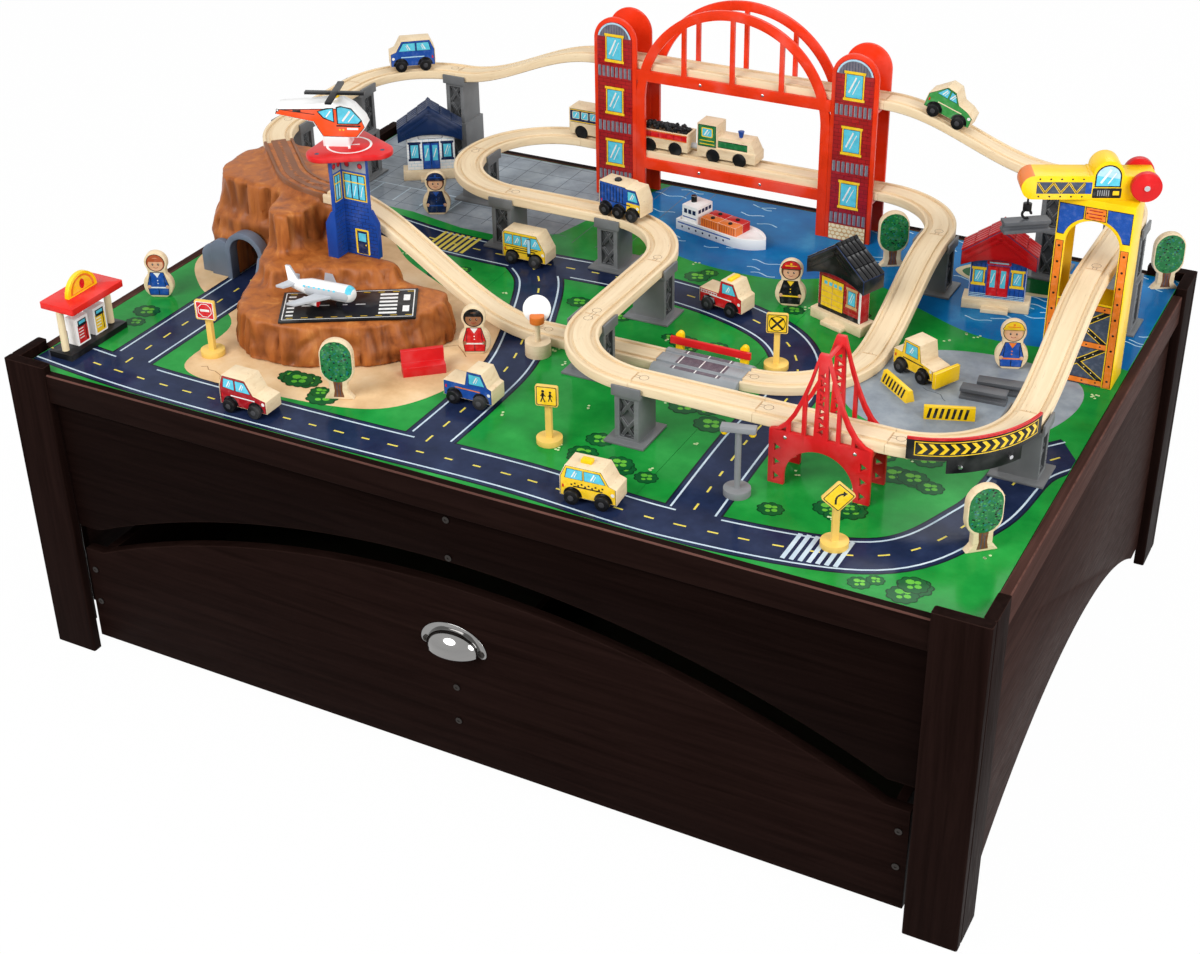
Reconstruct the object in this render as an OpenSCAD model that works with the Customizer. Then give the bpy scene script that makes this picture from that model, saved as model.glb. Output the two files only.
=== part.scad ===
// A wooden train table: a low frame with a rolling drawer under a play board
// with raised track, bridges, a mountain, a crane, houses and toys.
// Origin: middle of the footprint on the floor, front along -Y, +Z up.

/* [Table frame] */
// Length of the table over the posts
table_l = 1240; // [1230:1:1300]
// Width of the table over the posts
table_w = 870; // [866:1:930]
// Height of the corner posts
post_h = 424; // [405:1:470]
// Width of each post board
post_board_w = 62; // [50:1:70]
// Thickness of each post board
post_board_t = 14; // [12:0.5:17]
// Radius on the long edges of boards and rails
edge_r = 2.5; // [1:0.5:4]
// Step from the post tops down to the rim
rim_drop = 10; // [4:1:20]
// Height of the rim rails
rim_h = 40; // [34:1:50]
// Thickness of the rim rails
rim_t = 12; // [11:0.5:15]
// Set-back of the front and back rails from the post faces
rim_side_setback = 3; // [1:0.5:3.5]
// Set-back of the end rails from the post faces
rim_end_setback = 4.5; // [2:0.5:5]
// Thickness of the aprons and end panels
panel_t = 12; // [8:0.5:14]
// Set-back of the aprons and end panels from the post faces
panel_setback = 12; // [10:0.5:14]
// Height of the apron at its ends
apron_end_h = 181; // [170:1:188]
// Rise of the apron's arch
apron_rise = 112; // [80:1:120]
// Flat left at each end of the apron's arch
apron_flat = 33; // [20:1:60]
// Height of the end panels' lower edge at the posts
end_panel_z = 28; // [15:1:60]
// Rise of the end panels' arch
end_panel_rise = 97; // [60:1:110]

/* [Play board] */
// Thickness of the play board
board_t = 12; // [9:0.5:15]
// Step from the rim down to the board
board_drop = 1.5; // [0.5:0.5:4]
// Number of panels that the board is made of
board_panel_count = 3; // [1:1:4]
// Gap between neighbouring panels
board_seam = 0.5; // [0.3:0.1:1]
// Width of the bearers under the board
bearer_w = 20; // [15:1:30]

/* [Drawer] */
// Height of the drawer front's lower edge
drawer_z = 22; // [18:0.5:30]
// Gap between the apron's arch and the drawer's arch
drawer_arch_gap = 34; // [20:1:45]
// Gap between drawer front and posts
drawer_side_gap = 5; // [2:0.5:10]
// Thickness of the drawer front
drawer_front_t = 14; // [10:0.5:18]
// Thickness of the drawer sides and back
drawer_wall_t = 12; // [9:0.5:15]
// Clear height over the drawer's sides and back
drawer_head_gap = 43.7; // [38:0.1:60]
// Depth of the drawer box behind its front
drawer_d = 770; // [650:5:775]
// Thickness of the drawer bottom
drawer_bottom_t = 6; // [4:0.5:9]
// Radius of the drawer wheels
wheel_r = 18; // [15:0.5:19]
// Width of the drawer wheels
wheel_w = 14; // [10:0.5:20]
// Radius of the drawer axles
axle_r = 3; // [2:0.25:4]
// Width of the cup pull over its flange
pull_w = 88; // [70:1:110]
// Drop from the drawer front's crown to the pull's centre
pull_drop = 82; // [66:1:101]

/* [Track] */
// Width of the wooden track
track_w = 40; // [38:0.5:42]
// Thickness of the wooden track
track_t = 12; // [10:0.5:13]
// Width of each wheel groove
groove_w = 6; // [5.5:0.25:7]
// Depth of the wheel grooves
groove_d = 3; // [2:0.25:4]
// Distance between the grooves' centre lines
gauge = 26; // [24:0.5:27]
// Gap left at the joints of track pieces
joint_gap = 0.4; // [0.3:0.1:0.6]
// Centre-line radius of the curves
curve_r = 113; // [112:0.25:114]
// Length of the rising track pieces
ramp_l = 235; // [230:0.5:240]
// Height of the first level above the board
low_level = 63.5; // [60:0.5:66]
// Height of the high loop above the board
high_level = 130; // [127:0.5:134]
// Height of the upper bridge deck above the board
deck_level = 192; // [188:0.5:196]
// Line of the bridge across the back
bridge_y = 375; // [373:0.5:377]
// Left end of the bridge decks
bridge_x0 = -216; // [-218:0.5:-214]
// Right end of the bridge decks
bridge_x1 = 207; // [205:0.5:209]
// Straight lead from the bridge into the left loop
loop_lead = 28; // [26:0.5:30]
// Line of the raised front straight
front_y = -241; // [-243:0.5:-239]
// Line of the ground track
ground_y = -78; // [-80:0.5:-76]
// Line of the raised track that crosses the board
cross_x = 30; // [28:0.5:32]
// Line of the raised track along the right end
right_x = 556; // [554:0.5:558]
// Length of the level crossing
crossing_l = 113; // [110:0.5:116]
// End of the ramp that comes down from the mountain
ramp_foot_x = -70; // [-72:0.5:-68]

/* [Bridges and crane] */
// Width of each bridge tower
tower_w = 65; // [60:0.5:70]
// Height of the bridge towers
tower_h = 264; // [255:1:275]
// Thickness of the bridge frames
frame_t = 5; // [4:0.5:7]
// Clear space between track and bridge frames
frame_gap = 1; // [0.5:0.25:2]
// Rise of the bridge arch above the upper deck
arch_rise = 104; // [95:1:112]
// Width of the arch rib
rib_w = 13; // [10:0.5:16]
// Length of the small suspension bridge
small_bridge_l = 116; // [112:1:120]
// Height of the small bridge's towers
small_bridge_h = 168; // [155:1:180]
// Left edge of the crane
crane_x = 510; // [508:0.5:512]
// Front face of the crane
crane_y = 94; // [92:0.5:96]
// Width of the crane tower
crane_w = 86; // [84:0.5:88]
// Depth of the crane tower
crane_d = 46; // [42:0.5:50]
// Height of the crane tower
crane_h = 226; // [220:1:232]
// Length of the crane's jib
jib_l = 148; // [140:1:156]
// Angle of the jib from the left-right line
jib_angle = 25; // [20:1:30]

/* [Toys] */
// Height of the wooden figures
figure_h = 64; // [58:0.5:70]
// Thickness of the wooden figures and trees
figure_t = 10; // [8:0.5:12]
// Height of the wooden trees
tree_h = 78; // [70:0.5:86]
// Length of the houses' bases
house_w = 84; // [78:0.5:88]
// Height of the houses
house_h = 113; // [105:0.5:120]
// Radius of the toy wheels
toy_wheel_r = 8.5; // [7.5:0.25:9.5]
// Width of the road vehicles
vehicle_w = 28; // [25:0.5:31]
// Radius of the train's wheels
train_wheel_r = 10; // [9:0.25:10.5]
// Width of the train's wheels
train_wheel_w = 4; // [3:0.25:4.5]

/* [Hidden] */
$fn = 48;

// Overrun of every cut past the face it opens
cut = 1;
// Gap between pieces that move past each other
move_gap = 0.3;
// Radial play of a shaft in its hole
shaft_play = 0.05;

// Levels
rim_z = post_h - rim_drop;
board_z = rim_z - board_drop;
rail_foot_z = rim_z - rim_h;
apron_end_z = rail_foot_z - apron_end_h;
low_z = board_z + low_level;
high_z = board_z + high_level;
deck_z = board_z + deck_level;

// Inside lines of the frame
half_l = table_l / 2;
half_w = table_w / 2;
board_half_l = half_l - rim_end_setback - rim_t - move_gap;
board_half_w = half_w - rim_side_setback - rim_t - move_gap;

// Lifts its children
module up(z) translate([0, 0, z]) children();

// Draws its children on both sides of the middle
module both_x() for (s = [0, 1]) mirror([s, 0, 0]) children();
module both_y() for (s = [0, 1]) mirror([0, s, 0]) children();

// A rectangle with rounded corners, its lower left corner at the origin
module round_rect(w, h, r) {
  translate([r, 0]) square([w - 2 * r, h]);
  translate([0, r]) square([w, h - 2 * r]);
  for (x = [r, w - r], y = [r, h - r]) translate([x, y]) circle(r = r);
}

// A block with its long vertical edges rounded, centred on X and Y
module round_post(w, d, h, r) {
  linear_extrude(h) translate([-w / 2, -d / 2]) round_rect(w, d, r);
}

// Runs its child outline along +X for a length
module along_x(l) {
  rotate([90, 0, 90]) linear_extrude(l) children();
}

// Stands an outline drawn in X and Z up, thick towards +Y
module upright(t) {
  translate([0, t, 0]) rotate([90, 0, 0]) linear_extrude(t) children();
}

// Puts its children at a place on a level, turned about Z
module at(place, z, turn) {
  translate([place[0], place[1], z]) rotate([0, 0, turn]) children();
}

// Sets the frame's middle back, so that it is centred with its pull
module mid() translate([0, (pull_cup_out - panel_setback) / 2, 0]) children();

function arc_r(half_chord, rise) = (half_chord * half_chord + rise * rise) / (2 * rise);

// Corner posts: a front board and a side board each
module corner_posts() color("#2a1a17") mid() {
  for (sx = [0, 1], sy = [0, 1]) mirror([sx, 0, 0]) mirror([0, sy, 0]) {
    translate([half_l - post_board_w, half_w - post_board_t, 0])
      linear_extrude(post_h) round_rect(post_board_w, post_board_t, edge_r);
    translate([half_l - post_board_t, half_w - post_board_w, 0])
      linear_extrude(post_h) round_rect(post_board_t, post_board_w - post_board_t, edge_r);
  }
}

// Apron outline: a board with an arched lower edge
apron_half_l = half_l - post_board_w;
apron_arch_half = apron_half_l - apron_flat;
apron_arc_r = arc_r(apron_arch_half, apron_rise);
module apron_outline() {
  difference() {
    translate([-apron_half_l, apron_end_z]) square([2 * apron_half_l, rail_foot_z - apron_end_z]);
    translate([0, apron_end_z + apron_rise - apron_arc_r]) circle(r = apron_arc_r, $fn = 180);
  }
}

module front_apron() color("#2a1a17") mid() {
  translate([0, -half_w + panel_setback, 0]) upright(panel_t) apron_outline();
}

// The back apron reaches low, like the end panels
back_arch_half = apron_half_l - apron_flat;
back_arc_r = arc_r(back_arch_half, end_panel_rise);
module back_apron() color("#2a1a17") mid() {
  translate([0, half_w - panel_setback - panel_t, 0]) upright(panel_t) difference() {
    translate([-apron_half_l, end_panel_z]) square([2 * apron_half_l, rail_foot_z - end_panel_z]);
    translate([0, end_panel_z + end_panel_rise - back_arc_r]) circle(r = back_arc_r, $fn = 180);
  }
}

end_half_w = half_w - post_board_w;
end_arch_half = end_half_w - apron_flat;
end_arc_r = arc_r(end_arch_half, end_panel_rise);
module end_panels() color("#2a1a17") mid() {
  both_x() translate([half_l - panel_setback - panel_t, 0, 0])
    along_x(panel_t) difference() {
      translate([-end_half_w, end_panel_z]) square([2 * end_half_w, rail_foot_z - end_panel_z]);
      translate([0, end_panel_z + end_panel_rise - end_arc_r]) circle(r = end_arc_r, $fn = 180);
    }
}

// Rim rails: rounded boards between the posts
module rim_rails() color("#2a1a17") mid() {
  both_y()
    translate([-apron_half_l, half_w - rim_side_setback - rim_t, rail_foot_z])
      along_x(2 * apron_half_l) round_rect(rim_t, rim_h, edge_r);
  both_x()
    translate([half_l - rim_end_setback, -end_half_w, rail_foot_z]) rotate([0, 0, 90])
      along_x(2 * end_half_w) round_rect(rim_t, rim_h, edge_r);
}

// Play board in equal panels
panel_pitch = 2 * board_half_l / board_panel_count;
module play_board() color("#2e9a3c") mid() {
  for (i = [0 : board_panel_count - 1])
    translate([-board_half_l + i * panel_pitch + board_seam / 2, -board_half_w, board_z - board_t])
      cube([panel_pitch - board_seam, 2 * board_half_w, board_t]);
}

// Bearers: rails inside the rim and two cross bearers
bearer_h = board_z - board_t - rail_foot_z;
bearer_y = half_w - rim_side_setback - rim_t;
bearer_x = half_l - rim_end_setback - rim_t;
cross_bearer_x = board_half_l / 3;
module board_bearers() color("#4a3128") mid() up(rail_foot_z) {
  both_y() translate([-apron_half_l, bearer_y - bearer_w, 0])
    cube([2 * apron_half_l, bearer_w, bearer_h]);
  both_x() translate([bearer_x - bearer_w, -end_half_w, 0])
    cube([bearer_w, 2 * end_half_w, bearer_h]);
  both_x() translate([cross_bearer_x - bearer_w / 2, bearer_w - bearer_y, 0])
    cube([bearer_w, 2 * (bearer_y - bearer_w), bearer_h]);
}

// A screw head that stands on a front face, its axis along -Y
screw_head_r = 4.2;
screw_head_h = 1.2;
screw_socket_r = 1.8;
module screw_head() {
  rotate([90, 0, 0]) difference() {
    cylinder(r = screw_head_r, h = screw_head_h);
    up(screw_head_h / 2) cylinder(r = screw_socket_r, h = screw_head_h, $fn = 6);
  }
}

// Two screws through the middle of each long apron
apron_screw_inset = 12;
apron_screw_edge = 6;
module table_screws() color("#5a5450") mid() {
  for (z = [rail_foot_z - apron_screw_inset, apron_end_z + apron_rise + apron_screw_edge])
    both_y() translate([0, -half_w + panel_setback, z]) screw_head();
}

// Drawer front: an arched board that follows the apron
drawer_half_l = apron_half_l - drawer_side_gap;
drawer_front_y = -half_w + panel_setback;
drawer_top_z = apron_end_z + apron_rise - drawer_arch_gap;
module drawer_front() color("#2a1a17") mid() {
  translate([0, drawer_front_y, 0]) upright(drawer_front_t) {
    translate([-drawer_half_l, drawer_z])
      square([2 * drawer_half_l, apron_end_z - drawer_arch_gap - drawer_z]);
    intersection() {
      translate([-drawer_half_l, drawer_z]) square([2 * drawer_half_l, drawer_top_z]);
      translate([0, drawer_top_z - apron_arc_r]) circle(r = apron_arc_r, $fn = 180);
    }
  }
}

// Drawer box: two sides, a back and a middle divider
wheel_head_gap = 2;
drawer_floor_z = 2 * wheel_r + move_gap + wheel_head_gap;
drawer_box_y = drawer_front_y + drawer_front_t;
drawer_side_inset = 12;
drawer_side_x = drawer_half_l - drawer_side_inset;
divider_t = 9;
divider_share = 0.7;
drawer_wall_z = drawer_floor_z + drawer_bottom_t;
drawer_wall_h = apron_end_z - drawer_head_gap - drawer_wall_z;
module drawer_box() color("#3a2620") mid() {
  both_x()
    translate([drawer_side_x - drawer_wall_t, drawer_box_y, drawer_floor_z])
      cube([drawer_wall_t, drawer_d, drawer_bottom_t + drawer_wall_h]);
  translate([-drawer_side_x + drawer_wall_t, drawer_box_y + drawer_d - drawer_wall_t, drawer_floor_z])
    cube([2 * (drawer_side_x - drawer_wall_t), drawer_wall_t, drawer_bottom_t + drawer_wall_h]);
  translate([-divider_t / 2, drawer_box_y, drawer_wall_z])
    cube([divider_t, drawer_d - drawer_wall_t, divider_share * drawer_wall_h]);
}

module drawer_bottom() color("#b98f63") mid() {
  translate([-drawer_side_x + drawer_wall_t, drawer_box_y, drawer_floor_z])
    cube([2 * (drawer_side_x - drawer_wall_t), drawer_d - drawer_wall_t, drawer_bottom_t]);
}

// Cup pull: a flange with two ears and a quarter-round cup open below
pull_z = drawer_top_z - pull_drop;
pull_flange_t = 1.6;
pull_cup_r = 33;
pull_cup_wall = 1.6;
pull_cup_out = 24;
pull_ear_r = 7;
pull_flange_rim = 5;
pull_hole_r = 1.8;
pull_hole_x = pull_w / 2 - pull_ear_r;
module drawer_pull() color("#d8dadd") mid() translate([0, drawer_front_y, pull_z]) {
  rotate([90, 0, 0]) linear_extrude(pull_flange_t) difference() {
    union() {
      circle(r = pull_cup_r + pull_flange_rim);
      for (sx = [-1, 1]) translate([sx * pull_hole_x, 0]) circle(r = pull_ear_r);
      translate([-pull_hole_x, -pull_ear_r]) square([2 * pull_hole_x, pull_ear_r * 2]);
    }
    circle(r = pull_cup_r - pull_cup_wall);
    for (sx = [-1, 1]) translate([sx * pull_hole_x, 0]) circle(r = pull_hole_r);
    translate([-pull_w, -pull_w - pull_ear_r]) square([2 * pull_w, pull_w]);
  }
  difference() {
    rotate([90, 0, 0]) pull_cup(pull_cup_r, pull_cup_out);
    rotate([90, 0, 0]) pull_cup(pull_cup_r - pull_cup_wall, pull_cup_out - pull_cup_wall);
    translate([-pull_w, -pull_w, -pull_w - pull_ear_r]) cube([2 * pull_w, 2 * pull_w, pull_w]);
  }
}

// A dome of base radius r and height h, standing on the XY plane
module pull_cup(r, h) {
  dome_r = arc_r(r, h);
  intersection() {
    up(h - dome_r) sphere(r = dome_r);
    translate([-pull_w, -pull_w, 0]) cube([2 * pull_w, 2 * pull_w, 2 * pull_w]);
  }
}

drawer_screw_inset = 11;
drawer_screw_shares = [0.42, 0.78];
drawer_screw_x_shares = [-1, 0, 1];
drawer_end_h = apron_end_z - drawer_arch_gap - drawer_z;
module drawer_screws() color("#5a5450") mid() {
  for (share = drawer_screw_x_shares, rise = drawer_screw_shares)
    translate([share * (drawer_half_l - drawer_screw_inset), drawer_front_y, drawer_z + rise * drawer_end_h])
      screw_head();
  for (sx = [-1, 1]) translate([sx * pull_hole_x, drawer_front_y - pull_flange_t, pull_z]) screw_head();
}

// Drawer wheels on stub axles in brackets under the drawer bottom
bracket_t = 4;
bracket_gap = 1;
bracket_w = 24;
wheel_side_inset = 71;
front_wheel_inset = 79;
rear_wheel_inset = 91;
wheel_in_x = drawer_side_x - wheel_side_inset;
front_wheel_y = drawer_box_y + front_wheel_inset;
rear_wheel_y = drawer_box_y + drawer_d - rear_wheel_inset;
bracket_foot_z = wheel_r - 2 * axle_r;
module wheel_brackets() color("#8a8f94") mid() {
  for (sx = [0, 1], y = [front_wheel_y, rear_wheel_y], side = [-1, 1]) mirror([sx, 0, 0]) difference() {
    translate([wheel_in_x + side * (wheel_w / 2 + bracket_gap + bracket_t / 2) - bracket_t / 2,
      y - bracket_w / 2, bracket_foot_z])
      cube([bracket_t, bracket_w, drawer_floor_z - bracket_foot_z]);
    translate([wheel_in_x - wheel_w, y, wheel_r]) rotate([0, 90, 0])
      cylinder(r = axle_r + shaft_play, h = 2 * wheel_w);
  }
}

tread_r = 2;
module wheel_pair(y) color("#2b2b2d") mid() both_x()
  translate([wheel_in_x, y, wheel_r]) rotate([0, 90, 0]) {
    rotate_extrude() {
      translate([0, -wheel_w / 2]) square([wheel_r - tread_r, wheel_w]);
      translate([0, -wheel_w / 2 + tread_r]) square([wheel_r, wheel_w - 2 * tread_r]);
      for (z = [-wheel_w / 2 + tread_r, wheel_w / 2 - tread_r])
        translate([wheel_r - tread_r, z]) circle(r = tread_r);
    }
    cylinder(r = axle_r, h = wheel_w + 2 * (bracket_gap + bracket_t), center = true);
  }
module front_drawer_wheels() wheel_pair(front_wheel_y);
module rear_drawer_wheels() wheel_pair(rear_wheel_y);

// Track section, centred on its line, standing on its level
module track_section() difference() {
  translate([-track_w / 2, 0]) square([track_w, track_t]);
  for (s = [-1, 1]) translate([s * gauge / 2 - groove_w / 2, track_t - groove_d])
    square([groove_w, groove_d + cut]);
}

// A straight piece from a start point, heading at an angle
module straight_track(from, z, heading, l)
  translate([from[0], from[1], z]) rotate([0, 0, heading]) translate([joint_gap / 2, 0, 0])
    along_x(l - joint_gap) track_section();

// A curved piece about a centre, from a start angle over a sweep
joint_angle = 2 * asin(joint_gap / 4 / curve_r);
module curved_track(centre, z, start, sweep)
  translate([centre[0], centre[1], z]) rotate([0, 0, start + joint_angle])
    rotate_extrude(angle = sweep - 2 * joint_angle, $fn = 96) translate([curve_r, 0]) track_section();

// Height along a rising piece, as a share of its rise
function rise_share(t) = (1 - cos(180 * t)) / 2;
ramp_step_count = 24;
module rise_outline(l, rise, low, high) polygon(concat(
  [for (i = [0 : ramp_step_count]) [l * i / ramp_step_count, low + rise * rise_share(i / ramp_step_count)]],
  [for (i = [ramp_step_count : -1 : 0])
    [l * i / ramp_step_count, high + rise * rise_share(i / ramp_step_count)]]));

// A piece that rises smoothly along its heading
module rising_track(from, z, heading, l, rise)
  translate([from[0], from[1], z]) rotate([0, 0, heading]) translate([joint_gap / 2, 0, 0])
    rotate([90, 0, 0]) difference() {
      linear_extrude(track_w, center = true) rise_outline(l - joint_gap, rise, 0, track_t);
      for (s = [-1, 1]) up(s * gauge / 2) linear_extrude(groove_w, center = true)
        rise_outline(l - joint_gap, rise, track_t - groove_d, track_t + cut);
    }

// Places of the layout, worked out from its lines
loop_x = bridge_x0 - loop_lead;
loop_y = bridge_y - curve_r;
loop_return_y = bridge_y - 2 * curve_r;
cross_curve_x = cross_x - curve_r;
cross_top_y = loop_return_y - curve_r;
cross_foot_y = front_y + curve_r;
front_x0 = cross_x + curve_r;
front_x1 = right_x - curve_r;
front_piece_l = (front_x1 - front_x0) / 2;
right_top_y = cross_foot_y + ramp_l;
high_left_x = bridge_x0 - ramp_l;
high_line_x = high_left_x - curve_r;
high_foot_y = 110;
high_curve_angle = 45;
crossing_x0 = bridge_x1 - crossing_l;
ground_curve_y = ground_y + curve_r;
ground_line_x = bridge_x1 + curve_r;

module ground_track() color("#ead3a8") mid() {
  straight_track([ramp_foot_x, ground_y], board_z, 0, crossing_x0 - ramp_foot_x);
  curved_track([bridge_x1, ground_curve_y], board_z, -90, 90);
}

groove_end_x = -370;
module ramp_track() color("#e6cda0") mid() {
  rising_track([ramp_foot_x, ground_y], board_z, 180, ramp_foot_x - groove_end_x, high_level);
  rising_track([ground_line_x, ground_curve_y], board_z, 90, loop_y - ground_curve_y, low_level);
  rising_track([right_x, cross_foot_y], low_z, 90, ramp_l, high_level - low_level);
  rising_track([front_x1, bridge_y], high_z, 180, front_x1 - bridge_x1, deck_level - high_level);
  rising_track([high_left_x, bridge_y], high_z, 0, ramp_l, deck_level - high_level);
}

module raised_track() color("#ead3a8") mid() {
  curved_track([bridge_x1, loop_y], low_z, 0, 90);
  straight_track([bridge_x0, bridge_y], low_z, 0, bridge_x1 - bridge_x0);
  straight_track([loop_x, bridge_y], low_z, 0, loop_lead);
  for (start = [90, 180]) curved_track([loop_x, loop_y], low_z, start, 90);
  straight_track([loop_x, loop_return_y], low_z, 0, cross_curve_x - loop_x);
  curved_track([cross_curve_x, cross_top_y], low_z, 0, 90);
  straight_track([cross_x, cross_foot_y], low_z, 90, cross_top_y - cross_foot_y);
  curved_track([front_x0, cross_foot_y], low_z, 180, 90);
  for (i = [0, 1]) straight_track([front_x0 + i * front_piece_l, front_y], low_z, 0, front_piece_l);
  curved_track([front_x1, cross_foot_y], low_z, -90, 90);
}

module high_track() color("#ead3a8") mid() {
  straight_track([right_x, right_top_y], high_z, 90, loop_y - right_top_y);
  curved_track([front_x1, loop_y], high_z, 0, 90);
  straight_track([bridge_x0, bridge_y], deck_z, 0, bridge_x1 - bridge_x0);
  curved_track([high_left_x, loop_y], high_z, 90, 90);
  straight_track([high_line_x, high_foot_y], high_z, 90, loop_y - high_foot_y);
  curved_track([high_left_x, high_foot_y], high_z, 180, high_curve_angle);
}

// Piers: a foot, a braced column and a cap with two lips
pier_foot_t = 3;
pier_foot_w = 62;
pier_foot_d = 50;
pier_column_d = 30;
pier_column_w = 44;
pier_cap_t = 4;
pier_cap_d = 36;
pier_lip_t = 3;
pier_lip_h = 9;
pier_recess = 6;
pier_recess_w = 18;
brace_w = 4;
pier_track_gap = 0.4;
pier_lip_gap = 1.8;
pier_seat_gap = 0.1;
pier_cap_w = track_w + 2 * (pier_lip_gap + pier_lip_t);
module brace_cross(w, h, t) {
  slope = atan2(h, w);
  intersection() {
    cube([t, w, h]);
    for (lean = [slope, -slope]) translate([0, w / 2, h / 2]) rotate([lean, 0, 0])
      translate([0, -h - w, -brace_w / 2]) cube([t, 2 * (h + w), brace_w]);
  }
}
module pier_column(w, d, h, bay_count) {
  bay_h = h / bay_count;
  difference() {
    translate([-d / 2, -w / 2, 0]) cube([d, w, h]);
    for (s = [-1, 1]) translate([-pier_recess_w / 2, s * w / 2 - pier_recess, brace_w])
      cube([pier_recess_w, 2 * pier_recess, h - 2 * brace_w]);
  }
  for (i = [0 : bay_count - 1]) both_y()
    translate([pier_recess_w / 2, w / 2 - pier_recess, i * bay_h + brace_w / 2]) rotate([0, 0, 90])
      brace_cross(pier_recess_w, bay_h - brace_w, pier_recess / 2);
}
module pier_cap(h) {
  translate([-pier_cap_d / 2, -pier_cap_w / 2, h - pier_cap_t]) cube([pier_cap_d, pier_cap_w, pier_cap_t]);
  both_y()
    translate([-pier_cap_d / 2, pier_cap_w / 2 - pier_lip_t, h]) cube([pier_cap_d, pier_lip_t, pier_lip_h]);
}
module short_pier(level) {
  translate([-pier_foot_d / 2, -pier_foot_w / 2, 0]) cube([pier_foot_d, pier_foot_w, pier_foot_t]);
  up(pier_foot_t)
    pier_column(pier_column_w, pier_column_d, level - pier_foot_t - pier_cap_t, 2);
  pier_cap(level);
}
tall_lower_share = 0.52;
tall_lower_d = 36;
tall_lower_w = 50;
module tall_pier() {
  lower_h = tall_lower_share * high_level;
  translate([-pier_foot_d / 2, -pier_foot_w / 2, 0]) cube([pier_foot_d, pier_foot_w, pier_foot_t]);
  up(pier_foot_t) pier_column(tall_lower_w, tall_lower_d, lower_h - pier_foot_t, 2);
  up(lower_h)
    pier_column(pier_column_w, pier_column_d, high_level - lower_h - pier_cap_t, 2);
  pier_cap(high_level);
}

// The ramp is still lower where the edge of its pier's cap meets it
ramp_seat_t = 1 - pier_cap_d / 2 / (loop_y - ground_curve_y);
module short_piers() color("#8f959b") mid() {
  at([front_x0, front_y], board_z, 0) short_pier(low_level);
  at([cross_curve_x, loop_return_y], board_z, 0) short_pier(low_level);
  at([loop_x, loop_return_y], board_z, 0) short_pier(low_level);
  at([loop_x - curve_r, loop_y], board_z, 90) short_pier(low_level);
  at([cross_x, cross_top_y], board_z, 90) short_pier(low_level);
  at([cross_x, cross_foot_y], board_z, 90) short_pier(low_level);
  at([right_x, cross_foot_y], board_z, 90) short_pier(low_level);
  at([ground_line_x, loop_y], board_z, 90) short_pier(low_level * rise_share(ramp_seat_t) - pier_seat_gap);
}
module tall_piers() color("#868c93") mid() {
  at([high_left_x, bridge_y], board_z, 0) tall_pier();
  at([high_line_x, loop_y], board_z, 90) tall_pier();
  at([high_line_x, high_foot_y], board_z, 90) tall_pier();
  at([front_x1, bridge_y], board_z, 0) tall_pier();
  at([right_x, loop_y], board_z, 90) tall_pier();
}

// Level crossing: a plate, two posts and a hinged gate arm
crossing_w = 66;
crossing_ramp_w = 9;
module crossing_plate() color("#9aa0a6") mid()
  translate([crossing_x0 + joint_gap / 2, ground_y, board_z])
  along_x(crossing_l - joint_gap) difference() {
    crossing_outline();
    for (s = [-1, 1]) translate([s * gauge / 2 - groove_w / 2, track_t - groove_d])
      square([groove_w, groove_d + cut]);
  }

gate_post_w = 9;
gate_post_d = 7;
gate_post_h = 22;
gate_post_inset = 14;
gate_pin_r = 1.5;
gate_pin_rise = 18;
gate_edge = 1;
gate_pin_z = board_z + track_t / 2 + gate_pin_rise;
gate_y = ground_y + crossing_w / 2 - gate_post_d / 2 - gate_edge;
gate_post_x = [crossing_x0 + gate_post_inset, bridge_x1 - gate_post_inset];
module crossing_posts() color("#f2c81e") mid() difference() {
  for (x = gate_post_x) translate([x, gate_y, board_z + track_t]) {
    translate([-gate_post_w / 2, -gate_post_d / 2, -track_t / 4])
      cube([gate_post_w, gate_post_d, gate_post_h - gate_post_w / 2 + track_t / 4]);
    translate([0, gate_post_d / 2, gate_post_h - gate_post_w / 2]) rotate([90, 0, 0])
      cylinder(d = gate_post_w, h = gate_post_d);
  }
  translate([crossing_x0, ground_y, board_z]) along_x(crossing_l) crossing_outline();
  translate([gate_post_x[0], gate_y + gate_post_d, gate_pin_z]) rotate([90, 0, 0])
    cylinder(r = gate_pin_r + shaft_play, h = 2 * gate_post_d);
}
module crossing_outline() polygon([[-crossing_w / 2, 0], [crossing_w / 2, 0], [crossing_w / 2, track_t / 2],
  [crossing_w / 2 - crossing_ramp_w, track_t], [crossing_ramp_w - crossing_w / 2, track_t],
  [-crossing_w / 2, track_t / 2]]);

gate_arm_t = 4;
gate_arm_h = 9;
gate_arm_over = 10;
module gate_arm() color("#d8262a") mid()
  translate([gate_post_x[0], gate_y - gate_post_d / 2 - move_gap, gate_pin_z]) {
  translate([-gate_arm_over, -gate_arm_t, -gate_arm_h / 2])
    cube([gate_post_x[1] - gate_post_x[0] + 2 * gate_arm_over, gate_arm_t, gate_arm_h]);
  rotate([-90, 0, 0]) cylinder(r = gate_pin_r, h = gate_post_d + 2 * move_gap);
}

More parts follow.
